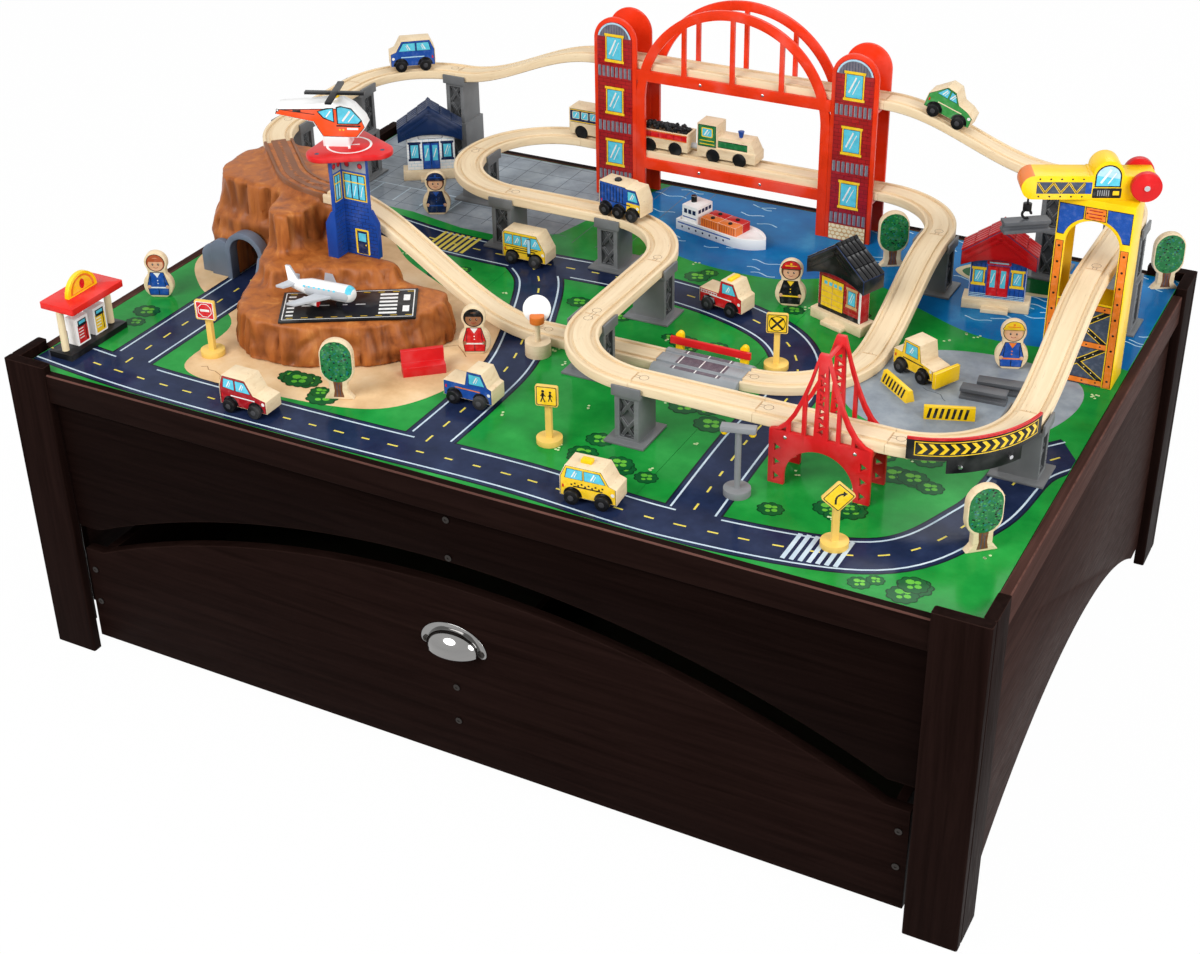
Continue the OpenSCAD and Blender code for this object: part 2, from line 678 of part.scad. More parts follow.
// Mountain: stepped rock with two ledges
rock_base = [[-590, -60], [-566, -100], [-458, -100], [-430, -196], [-400, -262], [-362, -288], [-300, -286],
  [-252, -262], [-205, -236], [-172, -190], [-160, -140], [-172, -106], [-366, -106], [-366, -46], [-390, -4],
  [-428, 50], [-500, 84], [-560, 66], [-594, 20]];
rock_mid = [[-582, -56], [-558, -92], [-452, -94], [-424, -180], [-384, -206], [-350, -178], [-306, -160],
  [-262, -142], [-244, -122], [-250, -106], [-370, -106], [-370, -48], [-394, -8], [-430, 44], [-500, 76],
  [-556, 58], [-588, 16]];
rock_top = [[-572, -52], [-548, -84], [-446, -88], [-424, -150], [-394, -160], [-376, -132], [-372, -52],
  [-398, -14], [-434, 38], [-500, 68], [-550, 50], [-580, 12]];
rock_hollow = [[-546, -40], [-526, -62], [-452, -66], [-424, -120], [-410, -124], [-402, -100], [-404, -62],
  [-420, -30], [-450, 18], [-500, 42], [-528, 28], [-548, 0]];
runway_ledge = 52;
tower_ledge = 78;
rock_step_count = 3;
rock_step_in_share = 0.02;
rock_roof_t = 16;
rock_centre = [-430, -90];
function drawn_in(points, share) = [for (p = points) p + share * (rock_centre - p)];
module rock_tier(points, z0, z1) for (i = [1 : rock_step_count]) up(board_z)
  linear_extrude(z0 + i * (z1 - z0) / rock_step_count)
    polygon(drawn_in(points, (i - 1) * rock_step_in_share));

// A seat in the rock for the upper end of the ramp
ramp_seat_l = 14;
ramp_seat_drop = 1;
module ramp_seat() translate([groove_end_x - ramp_seat_l, ground_y - track_w / 2, board_z])
  cube([2 * ramp_seat_l, track_w, high_level - ramp_seat_drop]);

// Moulded bed over the top: a straight, then a bend
bend_turn = 45;
bend_start = [high_left_x - curve_r * cos(bend_turn), high_foot_y - curve_r * sin(bend_turn)];
bend_run = groove_end_x - bend_start[0];
bend_fall = bend_start[1] - ground_y;
bend_r = (bend_run - bend_fall) / (sin(bend_turn) - (1 - cos(bend_turn)));
lead_l = (bend_fall - bend_r * (1 - cos(bend_turn))) / sin(bend_turn);
bed_end_angle = 2 * asin(joint_gap / 2 / bend_r);
module rock_bed() {
  translate([bend_start[0], bend_start[1], high_z]) rotate([0, 0, -bend_turn]) translate([joint_gap, 0, 0])
    along_x(lead_l) track_section();
  translate([groove_end_x, ground_y + bend_r, high_z]) rotate([0, 0, 270 - bend_turn])
    rotate_extrude(angle = bend_turn - bed_end_angle, $fn = 96) translate([bend_r, 0]) track_section();
}

// Tunnel: a mouth in the front and one in the back, joined by the hollow
portal_at = [-493, -100];
portal_w = 62;
portal_h = 70;
portal_back_at = [-440, 60];
portal_back_turn = 150;
tunnel_l = 110;
module tunnel_outline(w, h) {
  translate([-w / 2, 0]) square([w, h - w / 2]);
  translate([0, h - w / 2]) circle(d = w);
}
module tunnel_mouth(l) rotate([90, 0, 0]) up(-l) linear_extrude(2 * l)
  tunnel_outline(portal_w - 2 * portal_t, portal_h - portal_t);
module mountain() color("#9b6238") mid() difference() {
  union() {
    rock_tier(rock_base, 0, runway_ledge);
    rock_tier(rock_mid, runway_ledge, tower_ledge);
    rock_tier(rock_top, tower_ledge, high_level);
    ramp_seat();
    rock_bed();
  }
  up(board_z - cut) linear_extrude(high_level - rock_roof_t + cut) polygon(rock_hollow);
  at(portal_at, board_z - cut, 0) tunnel_mouth(tunnel_l / 2);
  at(portal_back_at, board_z - cut, portal_back_turn) tunnel_mouth(tunnel_l / 2);
}

// Tunnel portal, walls and curb
portal_t = 8;
portal_d = 16;
wall_step_w = 18;
wall_back = 4;
wall_step_d = 13;
wall_step_shares = [0.74, 0.58];
curb_at = [-464, -116];
curb_turn = -73;
curb_t = 6;
curb_l = 84;
curb_shares = [[0, 0], [1, 0], [1, 0.05], [0.3, 0.14], [0, 0.5]];
module tunnel_portal() color("#78828c") mid() {
  at(portal_at, board_z, 0) {
    translate([0, -portal_d, 0]) upright(portal_d) difference() {
      tunnel_outline(portal_w, portal_h);
      translate([0, -cut]) tunnel_outline(portal_w - 2 * portal_t, portal_h - portal_t + cut);
    }
    for (i = [0 : len(wall_step_shares) - 1])
      translate([portal_t - portal_w / 2 - (i + 1) * wall_step_w, (i + 1) * wall_back - portal_d, 0])
        upright(wall_step_d - (i + 1) * wall_back)
          tunnel_outline(2 * wall_step_w, wall_step_shares[i] * portal_h);
  }
  at(curb_at, board_z, curb_turn) translate([0, -curb_t, 0]) upright(curb_t)
    polygon([for (share = curb_shares) curb_l * share]);
}

// Runway plate
runway_at = [-269, -200];
runway_turn = 30;
runway_l = 166;
runway_w = 80;
runway_t = 3;
runway_z = board_z + runway_ledge;
module runway_plate() color("#1b1b1f") mid() at(runway_at, runway_z, runway_turn)
  translate([-runway_l / 2, -runway_w / 2, 0]) cube([runway_l, runway_w, runway_t]);

// Airplane
plane_at = [-300, -212];
plane_turn = 4;
plane_l = 96;
plane_r = 11;
plane_axis_h = 20;
wing_t = 3;
wing_reach = 40;
wing_chord = 24;
wing_tip_chord = 11;
wing_sweep = 22;
tail_reach = 19;
tail_chord = 15;
fin_h = 24;
engine_r = 5;
engine_l = 20;
plane_wheel_r = 4;
plane_wheel_w = 4;
tail_share = 0.35;
tail_end_share = 0.3;
module plane_wing(reach, chord, tip, sweep, t) linear_extrude(t, center = true)
  polygon([[0, 0], [chord, 0], [tip - sweep, reach], [-sweep, reach]]);
module airplane() color("#f2f2f0") mid()
  at(plane_at, runway_z + runway_t + plane_axis_h, plane_turn) {
  rotate([0, 90, 0]) rotate_extrude() intersection() {
    polygon([[0, -plane_l / 2], [tail_end_share * plane_r, -plane_l / 2],
      [plane_r, (tail_share - 1 / 2) * plane_l], [plane_r, plane_l], [0, plane_l]]);
    union() {
      translate([0, -plane_l / 2]) square([plane_r, plane_l - plane_r]);
      translate([0, plane_l / 2 - plane_r]) circle(r = plane_r);
    }
  }
  both_y() {
    translate([0, plane_r / 2, -plane_r / 3])
      plane_wing(wing_reach, wing_chord, wing_tip_chord, wing_sweep, wing_t);
    translate([-plane_l / 2 + wing_t, 0, plane_r / 4])
      plane_wing(tail_reach, tail_chord, wing_tip_chord, tail_chord / 2, wing_t);
  }
  translate([-plane_l / 2 + wing_t, wing_t / 2, 0]) rotate([90, 0, 0]) linear_extrude(wing_t)
    polygon([[0, 0], [tail_chord + wing_t, 0], [wing_t, fin_h], [-wing_t, fin_h]]);
  for (s = [-1, 1]) translate([-wing_t, s * wing_reach / 2, -plane_r / 3 - engine_r])
    rotate([0, 90, 0]) cylinder(r = engine_r, h = engine_l, center = true);
  for (place = [[plane_l / 4, 0], [-plane_r, plane_r / 2], [-plane_r, -plane_r / 2]])
    translate([place[0], place[1], plane_wheel_r - plane_axis_h]) {
      rotate([90, 0, 0]) cylinder(r = plane_wheel_r, h = plane_wheel_w, center = true);
      cylinder(r = plane_wheel_w / 2, h = plane_axis_h - plane_r / 2 - plane_wheel_r);
    }
}

// Control tower: a left and a back wall, wider at the foot
tower_at = [-310, -121];
control_base_w = 62;
control_base_d = 29;
control_base_h = 46;
control_shoulder_h = 16;
control_shaft_w = 44;
control_shaft_d = 25;
control_tower_h = 132;
tower_base_z = board_z + tower_ledge;
pad_z = tower_base_z + control_tower_h;
control_wall_t = 6;
module control_tower() color("#1c57b8") mid() at(tower_at, tower_base_z, 0) difference() {
  union() {
    translate([0, -control_base_d / 2, 0]) upright(control_base_d) polygon([
      [-control_base_w / 2, 0], [control_base_w / 2, 0], [control_base_w / 2, control_base_h],
      [control_shaft_w / 2, control_base_h + control_shoulder_h],
      [-control_shaft_w / 2, control_base_h + control_shoulder_h], [-control_base_w / 2, control_base_h]]);
    up(control_base_h + control_shoulder_h) round_post(control_shaft_w, control_shaft_d,
      control_tower_h - control_base_h - control_shoulder_h, edge_r);
  }
  translate([control_wall_t - control_shaft_w / 2, -control_base_d, -cut]) cube([control_base_w,
    control_base_d + control_shaft_d / 2 - control_wall_t, control_tower_h + 2 * cut]);
}

// Helipad: a rounded three-cornered plate
pad_t = 7;
pad_corner_r = 22;
pad_reach = 36;
pad_at = [-322, -98];
pad_turn = 35;
module helipad() color("#d8262a") mid() at(pad_at, pad_z, pad_turn) linear_extrude(pad_t) {
  for (a = [90, 210, 330]) translate(pad_reach * [cos(a), sin(a)]) circle(r = pad_corner_r);
  polygon([for (a = [90, 210, 330], side = [-1, 1])
    pad_reach * [cos(a), sin(a)] + pad_corner_r * [cos(a + 60 * side), sin(a + 60 * side)]]);
}

// Helicopter: a flat body on a block, with a mast
heli_at = [-338, -97];
heli_turn = 22;
heli_l = 112;
heli_h = 44;
heli_t = 26;
heli_block_w = 34;
heli_block_h = 12;
mast_r = 2.5;
mast_h = 8;
heli_shares = [[0.34, 0.3], [0.31, 0.5], [0.2, 0.84], [0.08, 1], [-0.1, 1], [-0.3, 0.93], [-0.64, 0.86],
  [-0.66, 0.66], [-0.24, 0.44], [-0.14, 0], [0.24, 0]];
heli_z = pad_z + pad_t;
module helicopter() color("#e8562a") mid() at(heli_at, heli_z, heli_turn) {
  round_post(heli_block_w, heli_t, heli_block_h, edge_r);
  translate([0, -heli_t / 2, heli_block_h]) upright(heli_t)
    polygon([for (s = heli_shares) [s[0] * heli_l, s[1] * heli_h]]);
  up(heli_block_h + heli_h - mast_r) cylinder(r = mast_r, h = mast_h + mast_r);
}
rotor_r = 37;
rotor_blade_w = 8;
rotor_t = 3;
rotor_hub_r = 6;
rotor_hub_h = 6;
rotor_cap_t = 2;
rotor_z = heli_z + heli_block_h + heli_h + mast_h - rotor_hub_h + rotor_cap_t;
module rotor() color("#1d1d20") mid() at(heli_at, rotor_z, heli_turn) difference() {
  union() {
    for (a = [0, 90]) rotate([0, 0, a]) translate([-rotor_r, -rotor_blade_w / 2, rotor_hub_h - rotor_t])
      cube([2 * rotor_r, rotor_blade_w, rotor_t]);
    cylinder(r = rotor_hub_r, h = rotor_hub_h);
  }
  up(-cut) cylinder(r = mast_r + shaft_play, h = rotor_hub_h - rotor_cap_t + cut + shaft_play);
}

// Arch bridge: tower frames joined by shelves under the decks
frame_in = track_w / 2 + frame_gap;
tower_inset = 6;
tower_x = [bridge_x0, bridge_x1 - tower_w - tower_inset];
shelf_t = 5;
tower_rim_w = 6;
tower_face_t = 2;
module tower_frame() {
  translate([0, 0]) square([tower_w, tower_h - tower_w / 2]);
  translate([tower_w / 2, tower_h - tower_w / 2]) circle(d = tower_w);
}
module bridge_towers() color("#e5331f") mid() for (x = tower_x) translate([x, bridge_y, board_z]) {
  both_y() translate([0, -frame_in - frame_t, 0]) upright(frame_t) tower_frame();
  for (z = [low_level, deck_level]) translate([0, -frame_in, z - shelf_t - pier_track_gap])
    cube([tower_w, 2 * frame_in, shelf_t]);
}

// Printed faces of the towers: thin panels
module tower_faces() color("#8d1f2a") mid() for (x = tower_x, s = [0, 1]) translate([x, bridge_y, board_z])
  mirror([0, s, 0]) translate([tower_rim_w, -frame_in - frame_t - tower_face_t, 0])
    upright(tower_face_t) {
      square([tower_w - 2 * tower_rim_w, tower_h - tower_w / 2]);
      translate([tower_w / 2 - tower_rim_w, tower_h - tower_w / 2]) circle(d = tower_w - 2 * tower_rim_w);
    }

// Arches between the towers: ribs, struts and deck beams
beam_h = 15;
strut_w = 6;
arch_x0 = tower_x[0] + tower_w;
arch_x1 = tower_x[1];
arch_half = (arch_x1 - arch_x0) / 2;
arch_mid = (arch_x0 + arch_x1) / 2;
arch_crown = deck_level + arch_rise;
arch_drop = 34;
arch_out_r = arc_r(arch_half, arch_rise + arch_drop);
strut_shares = [-0.5, 0, 0.5];
deck_lip = 3;
module arch_ring() intersection() {
  difference() {
    translate([0, arch_crown - arch_out_r]) circle(r = arch_out_r, $fn = 120);
    translate([0, arch_crown - arch_out_r]) circle(r = arch_out_r - rib_w, $fn = 120);
  }
  translate([-arch_half, deck_level - arch_drop]) square([2 * arch_half, arch_rise + arch_drop]);
}
module arch_side() {
  arch_ring();
  for (z = [low_level, deck_level]) translate([-arch_half, z - beam_h + deck_lip])
    square([2 * arch_half, beam_h]);
  for (x = [-arch_half, arch_half - rib_w]) translate([x, 0]) square([rib_w, deck_level - arch_drop]);
  intersection() {
    for (share = strut_shares) translate([share * arch_half - strut_w / 2, deck_level])
      square([strut_w, arch_rise]);
    translate([0, arch_crown - arch_out_r]) circle(r = arch_out_r - rib_w / 2, $fn = 120);
  }
}
module bridge_arches() color("#e5331f") mid() translate([arch_mid, bridge_y, board_z]) {
  both_y() translate([0, -frame_in - frame_t, 0]) upright(frame_t) arch_side();
  for (z = [low_level, deck_level]) translate([-arch_half, -frame_in, z - shelf_t - pier_track_gap])
    cube([2 * arch_half, 2 * frame_in, shelf_t]);
}

// Small bridge
small_shift = 6;
small_x = (front_x0 + front_x1 + front_piece_l) / 2 + small_shift;
leg_w = 18;
small_beam_h = 16;
small_tower_w = 16;
small_tower_top_w = 10;
cable_w = 5;
hanger_w = 4;
leg_hole_r = 6;
tower_hole_r = 5;
tower_holes = 9;
tower_hole_step = 8.5;
cable_steps = 6;
hanger_shares = [0.3, 0.6];
hanger_rise_shares = [0.47, 0.125];
small_deck = low_level + deck_lip;
function cable(t, half, rise, w) = [half - t * (half - small_tower_top_w / 2) - (1 - t) * w,
  small_deck + rise * t * t - 2 * t * w];
module small_frame() {
  half = small_bridge_l / 2;
  difference() {
    translate([-half, 0]) square([2 * half, small_deck]);
    translate([0, small_deck - small_beam_h - half + leg_w]) circle(r = half - leg_w);
    translate([-half + leg_w, -cut])
      square([2 * (half - leg_w), small_deck - small_beam_h - half + leg_w + cut]);
    for (s = [-1, 1], i = [0 : 2]) translate([s * (half - leg_w / 2), leg_w / 2 + i * leg_w])
      circle(r = leg_hole_r, $fn = 3);
  }
  rise = small_bridge_h - small_deck;
  difference() {
    polygon([[-small_tower_w / 2, small_deck], [small_tower_w / 2, small_deck],
      [small_tower_top_w / 2, small_bridge_h], [-small_tower_top_w / 2, small_bridge_h]]);
    for (i = [1 : tower_holes]) translate([0, small_deck + i * tower_hole_step]) rotate(180 * i)
      circle(r = tower_hole_r, $fn = 3);
  }
  both_x() {
    polygon(concat([for (i = [0 : cable_steps]) cable(i / cable_steps, half, rise, 0)],
      [for (i = [cable_steps : -1 : 0]) cable(i / cable_steps, half, rise, cable_w)]));
    for (i = [0, 1]) translate([hanger_shares[i] * half, small_deck])
      square([hanger_w, hanger_rise_shares[i] * rise]);
  }
}
module suspension_bridge() color("#d8262a") mid() translate([small_x, front_y, board_z]) {
  both_y() translate([0, -frame_in - frame_t, 0]) upright(frame_t) small_frame();
  translate([-small_bridge_l / 2, -frame_in, low_level - shelf_t - pier_track_gap])
    cube([small_bridge_l, 2 * frame_in, shelf_t]);
  up(small_bridge_h - small_tower_top_w) rotate([90, 0, 0])
    cylinder(r = bolt_r, h = 2 * frame_in, center = true);
}

// Curve guard on the front right curve
guard_t = 3;
guard_gap = 0.3;
guard_h = 26;
guard_foot = 3;
guard_tab_h = 16;
guard_tab_in = 0.5;
guard_r = curve_r + track_w / 2 + guard_gap;
guard_start = -80;
guard_sweep = 70;
guard_tab_start = -62;
guard_tab_sweep = 38;
bolt_r = 2.5;
bolt_h = 1.5;
bolt_angles = [-56, -31];
module curve_guard() color("#1b1b1f") mid() translate([front_x1, cross_foot_y, low_z]) {
  rotate([0, 0, guard_start]) rotate_extrude(angle = guard_sweep, $fn = 96)
    translate([guard_r, guard_foot]) square([guard_t, guard_h]);
  rotate([0, 0, guard_tab_start]) rotate_extrude(angle = guard_tab_sweep, $fn = 96)
    translate([guard_r + guard_tab_in, guard_foot - guard_tab_h])
      square([guard_t - 2 * guard_tab_in, guard_tab_h + cut]);
  for (a = bolt_angles) rotate([0, 0, a]) translate([guard_r + guard_t / 2, 0, guard_foot - guard_tab_h / 2])
    rotate([0, 90, 0]) cylinder(r = bolt_r, h = guard_t / 2 + bolt_h);
}

// Crane tower: legs, a panel, an arched head and a pin
crane_leg_w = 12;
crane_head_h = 20;
crane_top_t = 5;
crane_arch_r = crane_w / 2 - crane_leg_w;
crane_panel_t = 3;
crane_skirt_z = high_level - 2 * track_t;
pivot_r = 6;
pivot_h = 9;
crane_mid = [crane_x + crane_w / 2, crane_y + crane_d / 2];
module crane_front() difference() {
  translate([-crane_w / 2, 0]) square([crane_w, crane_h]);
  translate([-crane_arch_r, crane_skirt_z])
    square([2 * crane_arch_r, crane_h - crane_head_h - crane_arch_r - crane_skirt_z]);
  translate([0, crane_h - crane_head_h - crane_arch_r]) circle(r = crane_arch_r);
}
module crane_tower() color("#f5c518") mid() translate([crane_mid[0], crane_mid[1], board_z]) {
  for (y = [-crane_d / 2, crane_d / 2 - crane_panel_t])
    translate([0, y, 0]) upright(crane_panel_t) crane_front();
  both_x() translate([crane_w / 2 - crane_panel_t, -crane_d / 2 + crane_panel_t, 0])
    cube([crane_panel_t, crane_d - 2 * crane_panel_t, crane_h]);
  translate([-crane_w / 2, -crane_d / 2, crane_h]) cube([crane_w, crane_d, crane_top_t]);
  up(crane_h + crane_top_t) cylinder(r = pivot_r, h = pivot_h);
}

// Crane jib: a hollow arm with a cab dome, turning on the tower's pin
disc_r = 17;
jib_z = board_z + crane_h + crane_top_t + move_gap;
jib_h = 28;
jib_w = 34;
jib_wall = 3;
jib_nose_share = 0.64;
jib_nose = jib_nose_share * jib_l;
jib_tail = jib_l - jib_nose;
cab_r = 17;
cab_h = 46;
drum_shaft_r = 4;
jib_end_inset = 12;
disc_clear = 1;
drum_x = jib_tail - jib_end_inset;
drum_z = disc_r + disc_clear;
cab_w = 40;
line_x = jib_end_inset - jib_nose;
module crane_jib() color("#f7cf1c") mid() at(crane_mid, jib_z, jib_angle) difference() {
  union() {
    translate([-jib_nose + jib_h / 2, -jib_w / 2, 0]) cube([jib_l - jib_h / 2, jib_w, jib_h]);
    translate([-jib_nose + jib_h / 2, jib_w / 2, jib_h / 2]) rotate([90, 0, 0]) cylinder(d = jib_h, h = jib_w);
    translate([-cab_w / 2, -jib_w / 2, jib_h]) cube([cab_w, jib_w, cab_h - cab_r - jib_h]);
    translate([0, jib_w / 2, cab_h - cab_r]) rotate([90, 0, 0]) cylinder(r = cab_r, h = jib_w);
  }
  translate([-jib_nose + jib_h, jib_wall - jib_w / 2, -cut])
    cube([jib_nose - jib_h - cab_r, jib_w - 2 * jib_wall, jib_h - jib_wall + cut]);
  translate([line_x, 0, -cut]) cylinder(r = line_r + shaft_play, h = line_in + 2 * cut);
  up(-cut) cylinder(r = pivot_r + shaft_play, h = pivot_h + cut + move_gap);
  translate([drum_x, jib_w, drum_z]) rotate([90, 0, 0]) cylinder(r = drum_shaft_r + shaft_play, h = 2 * jib_w);
}

// Winch: a shaft through the jib's tail with a disc at each end
disc_t = 9;
module winch_drum() color("#d8262a") mid() at(crane_mid, jib_z, jib_angle)
  translate([drum_x, 0, drum_z]) rotate([90, 0, 0]) {
  cylinder(r = drum_shaft_r, h = jib_w + 2 * move_gap, center = true);
  for (s = [0, 1]) mirror([0, 0, s]) up(jib_w / 2 + move_gap) {
    cylinder(r = disc_r, h = disc_t);
    up(disc_t) cylinder(r = drum_shaft_r, h = bolt_h);
  }
}

// Hook: a line, a block, an open hook and the beam that hangs in it
line_r = 1.2;
line_l = 12;
line_in = 14;
block_r = 5;
block_h = 8;
hook_r = 5;
hook_t = 3;
hook_angle = 300;
load_l = 54;
load_w = 16;
load_h = 14;
load_flange = 4;
load_web = 5;
load_turn = 10;
module beam_section(w, h, flange, web) {
  for (z = [0, h - flange]) translate([-w / 2, z]) square([w, flange]);
  translate([-web / 2, 0]) square([web, h]);
}
module crane_hook() color("#232326") mid() at(crane_mid, jib_z, jib_angle) translate([line_x, 0, 0]) {
  up(-line_l - block_h) {
    cylinder(r = line_r, h = line_l + block_h + line_in);
    cylinder(r = block_r, h = block_h);
    up(-hook_r) rotate([90, 0, 0]) rotate_extrude(angle = hook_angle, $fn = 32)
      translate([hook_r, 0]) circle(d = hook_t, $fn = 16);
    up(-2 * hook_r - hook_t / 2 - load_h) rotate([0, 0, load_turn])
      translate([-load_l / 2, 0, 0]) along_x(load_l) beam_section(load_w, load_h, load_flange, load_web);
  }
}

// Houses: a stepped base, a front block and a thick roof, arched underneath
house_at = [[-463, 298], [253, 117], [410, 246]];
house_turn = [33, -21, 11];
base_h = 14;
base_d = 28;
step_w = 34;
step_d = 9;
step_h = 6;
wall_w = 70;
wall_d = 16;
roof_d = 38;
roof_over = 12;
roof_pitch = 35;
roof_edge_h = 19;
roof_arch_h = 11;
roof_reach = wall_w / 2 + roof_over;
roof_edge_z = house_h - roof_reach * tan(roof_pitch);
roof_steps = 4;
function under_roof(x) = [x, roof_edge_z - roof_edge_h + roof_arch_h * (1 - pow(x / roof_reach, 2))];
wall_top = [for (i = [roof_steps : -1 : -roof_steps]) under_roof(i * wall_w / 2 / roof_steps)];
module houses() for (i = [0 : len(house_at) - 1]) at(house_at[i], board_z, house_turn[i]) children();
module house_bases() color("#e0bd85") mid() houses() {
  translate([-house_w / 2, -base_d / 2, 0]) cube([house_w, base_d, base_h]);
  translate([-step_w / 2, -base_d / 2 - step_d, 0]) cube([step_w, step_d, step_h]);
}
module house_walls() color("#c8ccd2") mid() houses() translate([0, -wall_d / 2, 0]) upright(wall_d)
  polygon(concat([[-wall_w / 2, base_h], [wall_w / 2, base_h]], wall_top));
module house_roofs() color("#24407a") mid() houses() translate([0, -roof_d / 2, 0]) upright(roof_d)
  polygon(concat([[-roof_reach, roof_edge_z], [0, house_h], [roof_reach, roof_edge_z], under_roof(roof_reach)],
    wall_top, [under_roof(-roof_reach)]));

// Fuel stop: base, two posts, two pumps, a canopy and a half-disc sign
fuel_inset = [33.2, 81.7];
fuel_at = fuel_inset - [board_half_l, board_half_w];
fuel_base_l = 104;
fuel_base_w = 34;
fuel_base_h = 8;
fuel_post_r = 4.5;
fuel_post_in = 10;
pump_w = 22;
pump_d = 16;
pump_h = 36;
pump_pitch = 32;
canopy_w = 52;
canopy_t = 8;
canopy_z = 62;
sign_r = 26;
sign_t = 6;
module fuel_stop() color("#d8262a") mid() at(fuel_at, board_z, 0) {
  translate([-fuel_base_w / 2, -fuel_base_l / 2, 0]) cube([fuel_base_w, fuel_base_l, fuel_base_h]);
  for (s = [-1, 1]) {
    translate([0, s * (fuel_base_l / 2 - fuel_post_in), fuel_base_h])
      cylinder(r = fuel_post_r, h = canopy_z - fuel_base_h);
    translate([-pump_d / 2, s * pump_pitch / 2 - pump_w / 2, fuel_base_h]) cube([pump_d, pump_w, pump_h]);
  }
  up(canopy_z) round_post(canopy_w, fuel_base_l - fuel_post_in, canopy_t, edge_r);
  translate([sign_t / 2, 0, canopy_z + canopy_t]) rotate([90, 0, -90]) linear_extrude(sign_t) intersection() {
    circle(r = sign_r);
    translate([-sign_r, 0]) square([2 * sign_r, sign_r]);
  }
}

// Wooden figures: a head and a body cut from one board
figure_inset = 31.2;
figure_at = [[figure_inset - board_half_l, -196], [-385, 186], [-122, -150], [174, 138], [474, 98]];
figure_turn = [24, 28, 26, 16, 20];
head_r = 15;
waist_w = 24;
body_r = 17;
module figure() {
  translate([0, figure_h - head_r]) circle(r = head_r);
  translate([-waist_w / 2, body_r]) square([waist_w, figure_h - head_r - body_r]);
  intersection() {
    translate([0, body_r]) circle(r = body_r + edge_r);
    translate([-figure_h, 0]) square([2 * figure_h, figure_h]);
  }
}
module toy_people() color("#dcb678") mid() for (i = [0 : len(figure_at) - 1])
  at(figure_at[i], board_z, figure_turn[i]) translate([0, -figure_t / 2, 0]) upright(figure_t) figure();

// Wooden trees: a rounded crown on a flared foot
tree_inset = [[41.2, 127.7], [16.2, 27.7]];
tree_at = [[-207, -318], [board_half_l - tree_inset[0][0], tree_inset[0][1] - board_half_w], [250, 303],
  [board_half_l, board_half_w] - tree_inset[1]];
tree_turn = [22, 42, 30, 30];
crown_r = 20;
foot_w = 36;
trunk_w = 22;
foot_h = 8;
module tree() {
  translate([0, tree_h - crown_r]) circle(r = crown_r);
  translate([-crown_r, tree_h / 2]) square([2 * crown_r, tree_h / 2 - crown_r]);
  translate([0, tree_h / 2]) circle(r = crown_r);
  polygon([[-foot_w / 2, 0], [foot_w / 2, 0], [trunk_w / 2, foot_h], [trunk_w / 2, tree_h / 2],
    [-trunk_w / 2, tree_h / 2], [-trunk_w / 2, foot_h]]);
}
module toy_trees() color("#d9b376") mid() for (i = [0 : len(tree_at) - 1])
  at(tree_at[i], board_z, tree_turn[i]) translate([0, -figure_t / 2, 0]) upright(figure_t) tree();

// Road signs: a round foot, a post and a square plate, the last on its corner
sign_at = [[-410, -296], [64, -299], [224, -26], [427, -352]];
sign_turn = [12, 14, 18, 34];
sign_foot_r = 15;
sign_foot_h = 7;
sign_post_w = 7;
sign_h = 76;
sign_plate_w = 26;
sign_plate_t = 4;
sign_angle = 45;
module road_sign(tilt) {
  cylinder(r = sign_foot_r, h = sign_foot_h);
  translate([-sign_post_w / 2, -sign_post_w / 2, sign_foot_h])
    cube([sign_post_w, sign_post_w, sign_h - sign_plate_w / 2 - sign_foot_h]);
  translate([0, -sign_post_w / 2 - sign_plate_t, sign_h - sign_plate_w / 2]) rotate([0, tilt, 0])
    translate([-sign_plate_w / 2, 0, -sign_plate_w / 2]) upright(sign_plate_t)
      round_rect(sign_plate_w, sign_plate_w, edge_r);
}
module road_signs() color("#f0cf62") mid() for (i = [0 : len(sign_at) - 1])
  at(sign_at[i], board_z, sign_turn[i]) road_sign(i == len(sign_at) - 1 ? sign_angle : 0);

// Street pieces: lamp, bench, dish, barriers and beams
lamp_at = [297, -305];
lamp_turn = 14;
lamp_foot_r = 15;
lamp_foot_h = 8;
lamp_pole_r = 3.5;
lamp_h = 78;
lamp_bar_l = 38;
lamp_bar_w = 11;
lamp_bar_t = 6;
bulb_r = 4;
bench_at = [-152, -221];
bench_turn = 40;
bench_l = 52;
bench_d = 20;
bench_seat_h = 12;
bench_back_t = 6;
bench_h = 28;
dish_at = [-50, -121];
dish_turn = 28;
dish_foot_r = 16;
dish_foot_h = 18;
dish_post_r = 3.5;
dish_post_h = 32;
dish_r = 17;
dish_t = 6;
dish_angle = 60;
feed_r = 9;
feed_t = 9;
barrier_at = [[374, -17], [448, -50]];
barrier_turn = [-40, 20];
barrier_l = 58;
barrier_h = 15;
barrier_foot = 12;
barrier_top = 5;
beam_at = [[470, 8], [482, 34]];
beam_turn = [4, 8];
ring_r = 6;
ring_t = 3;
module street_lamp() {
  cylinder(r = lamp_foot_r, h = lamp_foot_h);
  cylinder(r = lamp_pole_r, h = lamp_h);
  translate([-lamp_bar_l / 2, -lamp_bar_w / 2, lamp_h]) cube([lamp_bar_l, lamp_bar_w, lamp_bar_t]);
  for (s = [-1, 1]) translate([s * (lamp_bar_l / 2 - bulb_r), 0, lamp_h - bulb_r / 2]) sphere(r = bulb_r);
}
module bench() translate([-bench_l / 2, 0, 0]) along_x(bench_l) polygon([[-bench_d / 2, 0], [bench_d / 2, 0],
  [bench_d / 2, bench_h], [bench_d / 2 - bench_back_t, bench_h], [bench_d / 2 - bench_back_t, bench_seat_h],
  [-bench_d / 2, bench_seat_h]]);
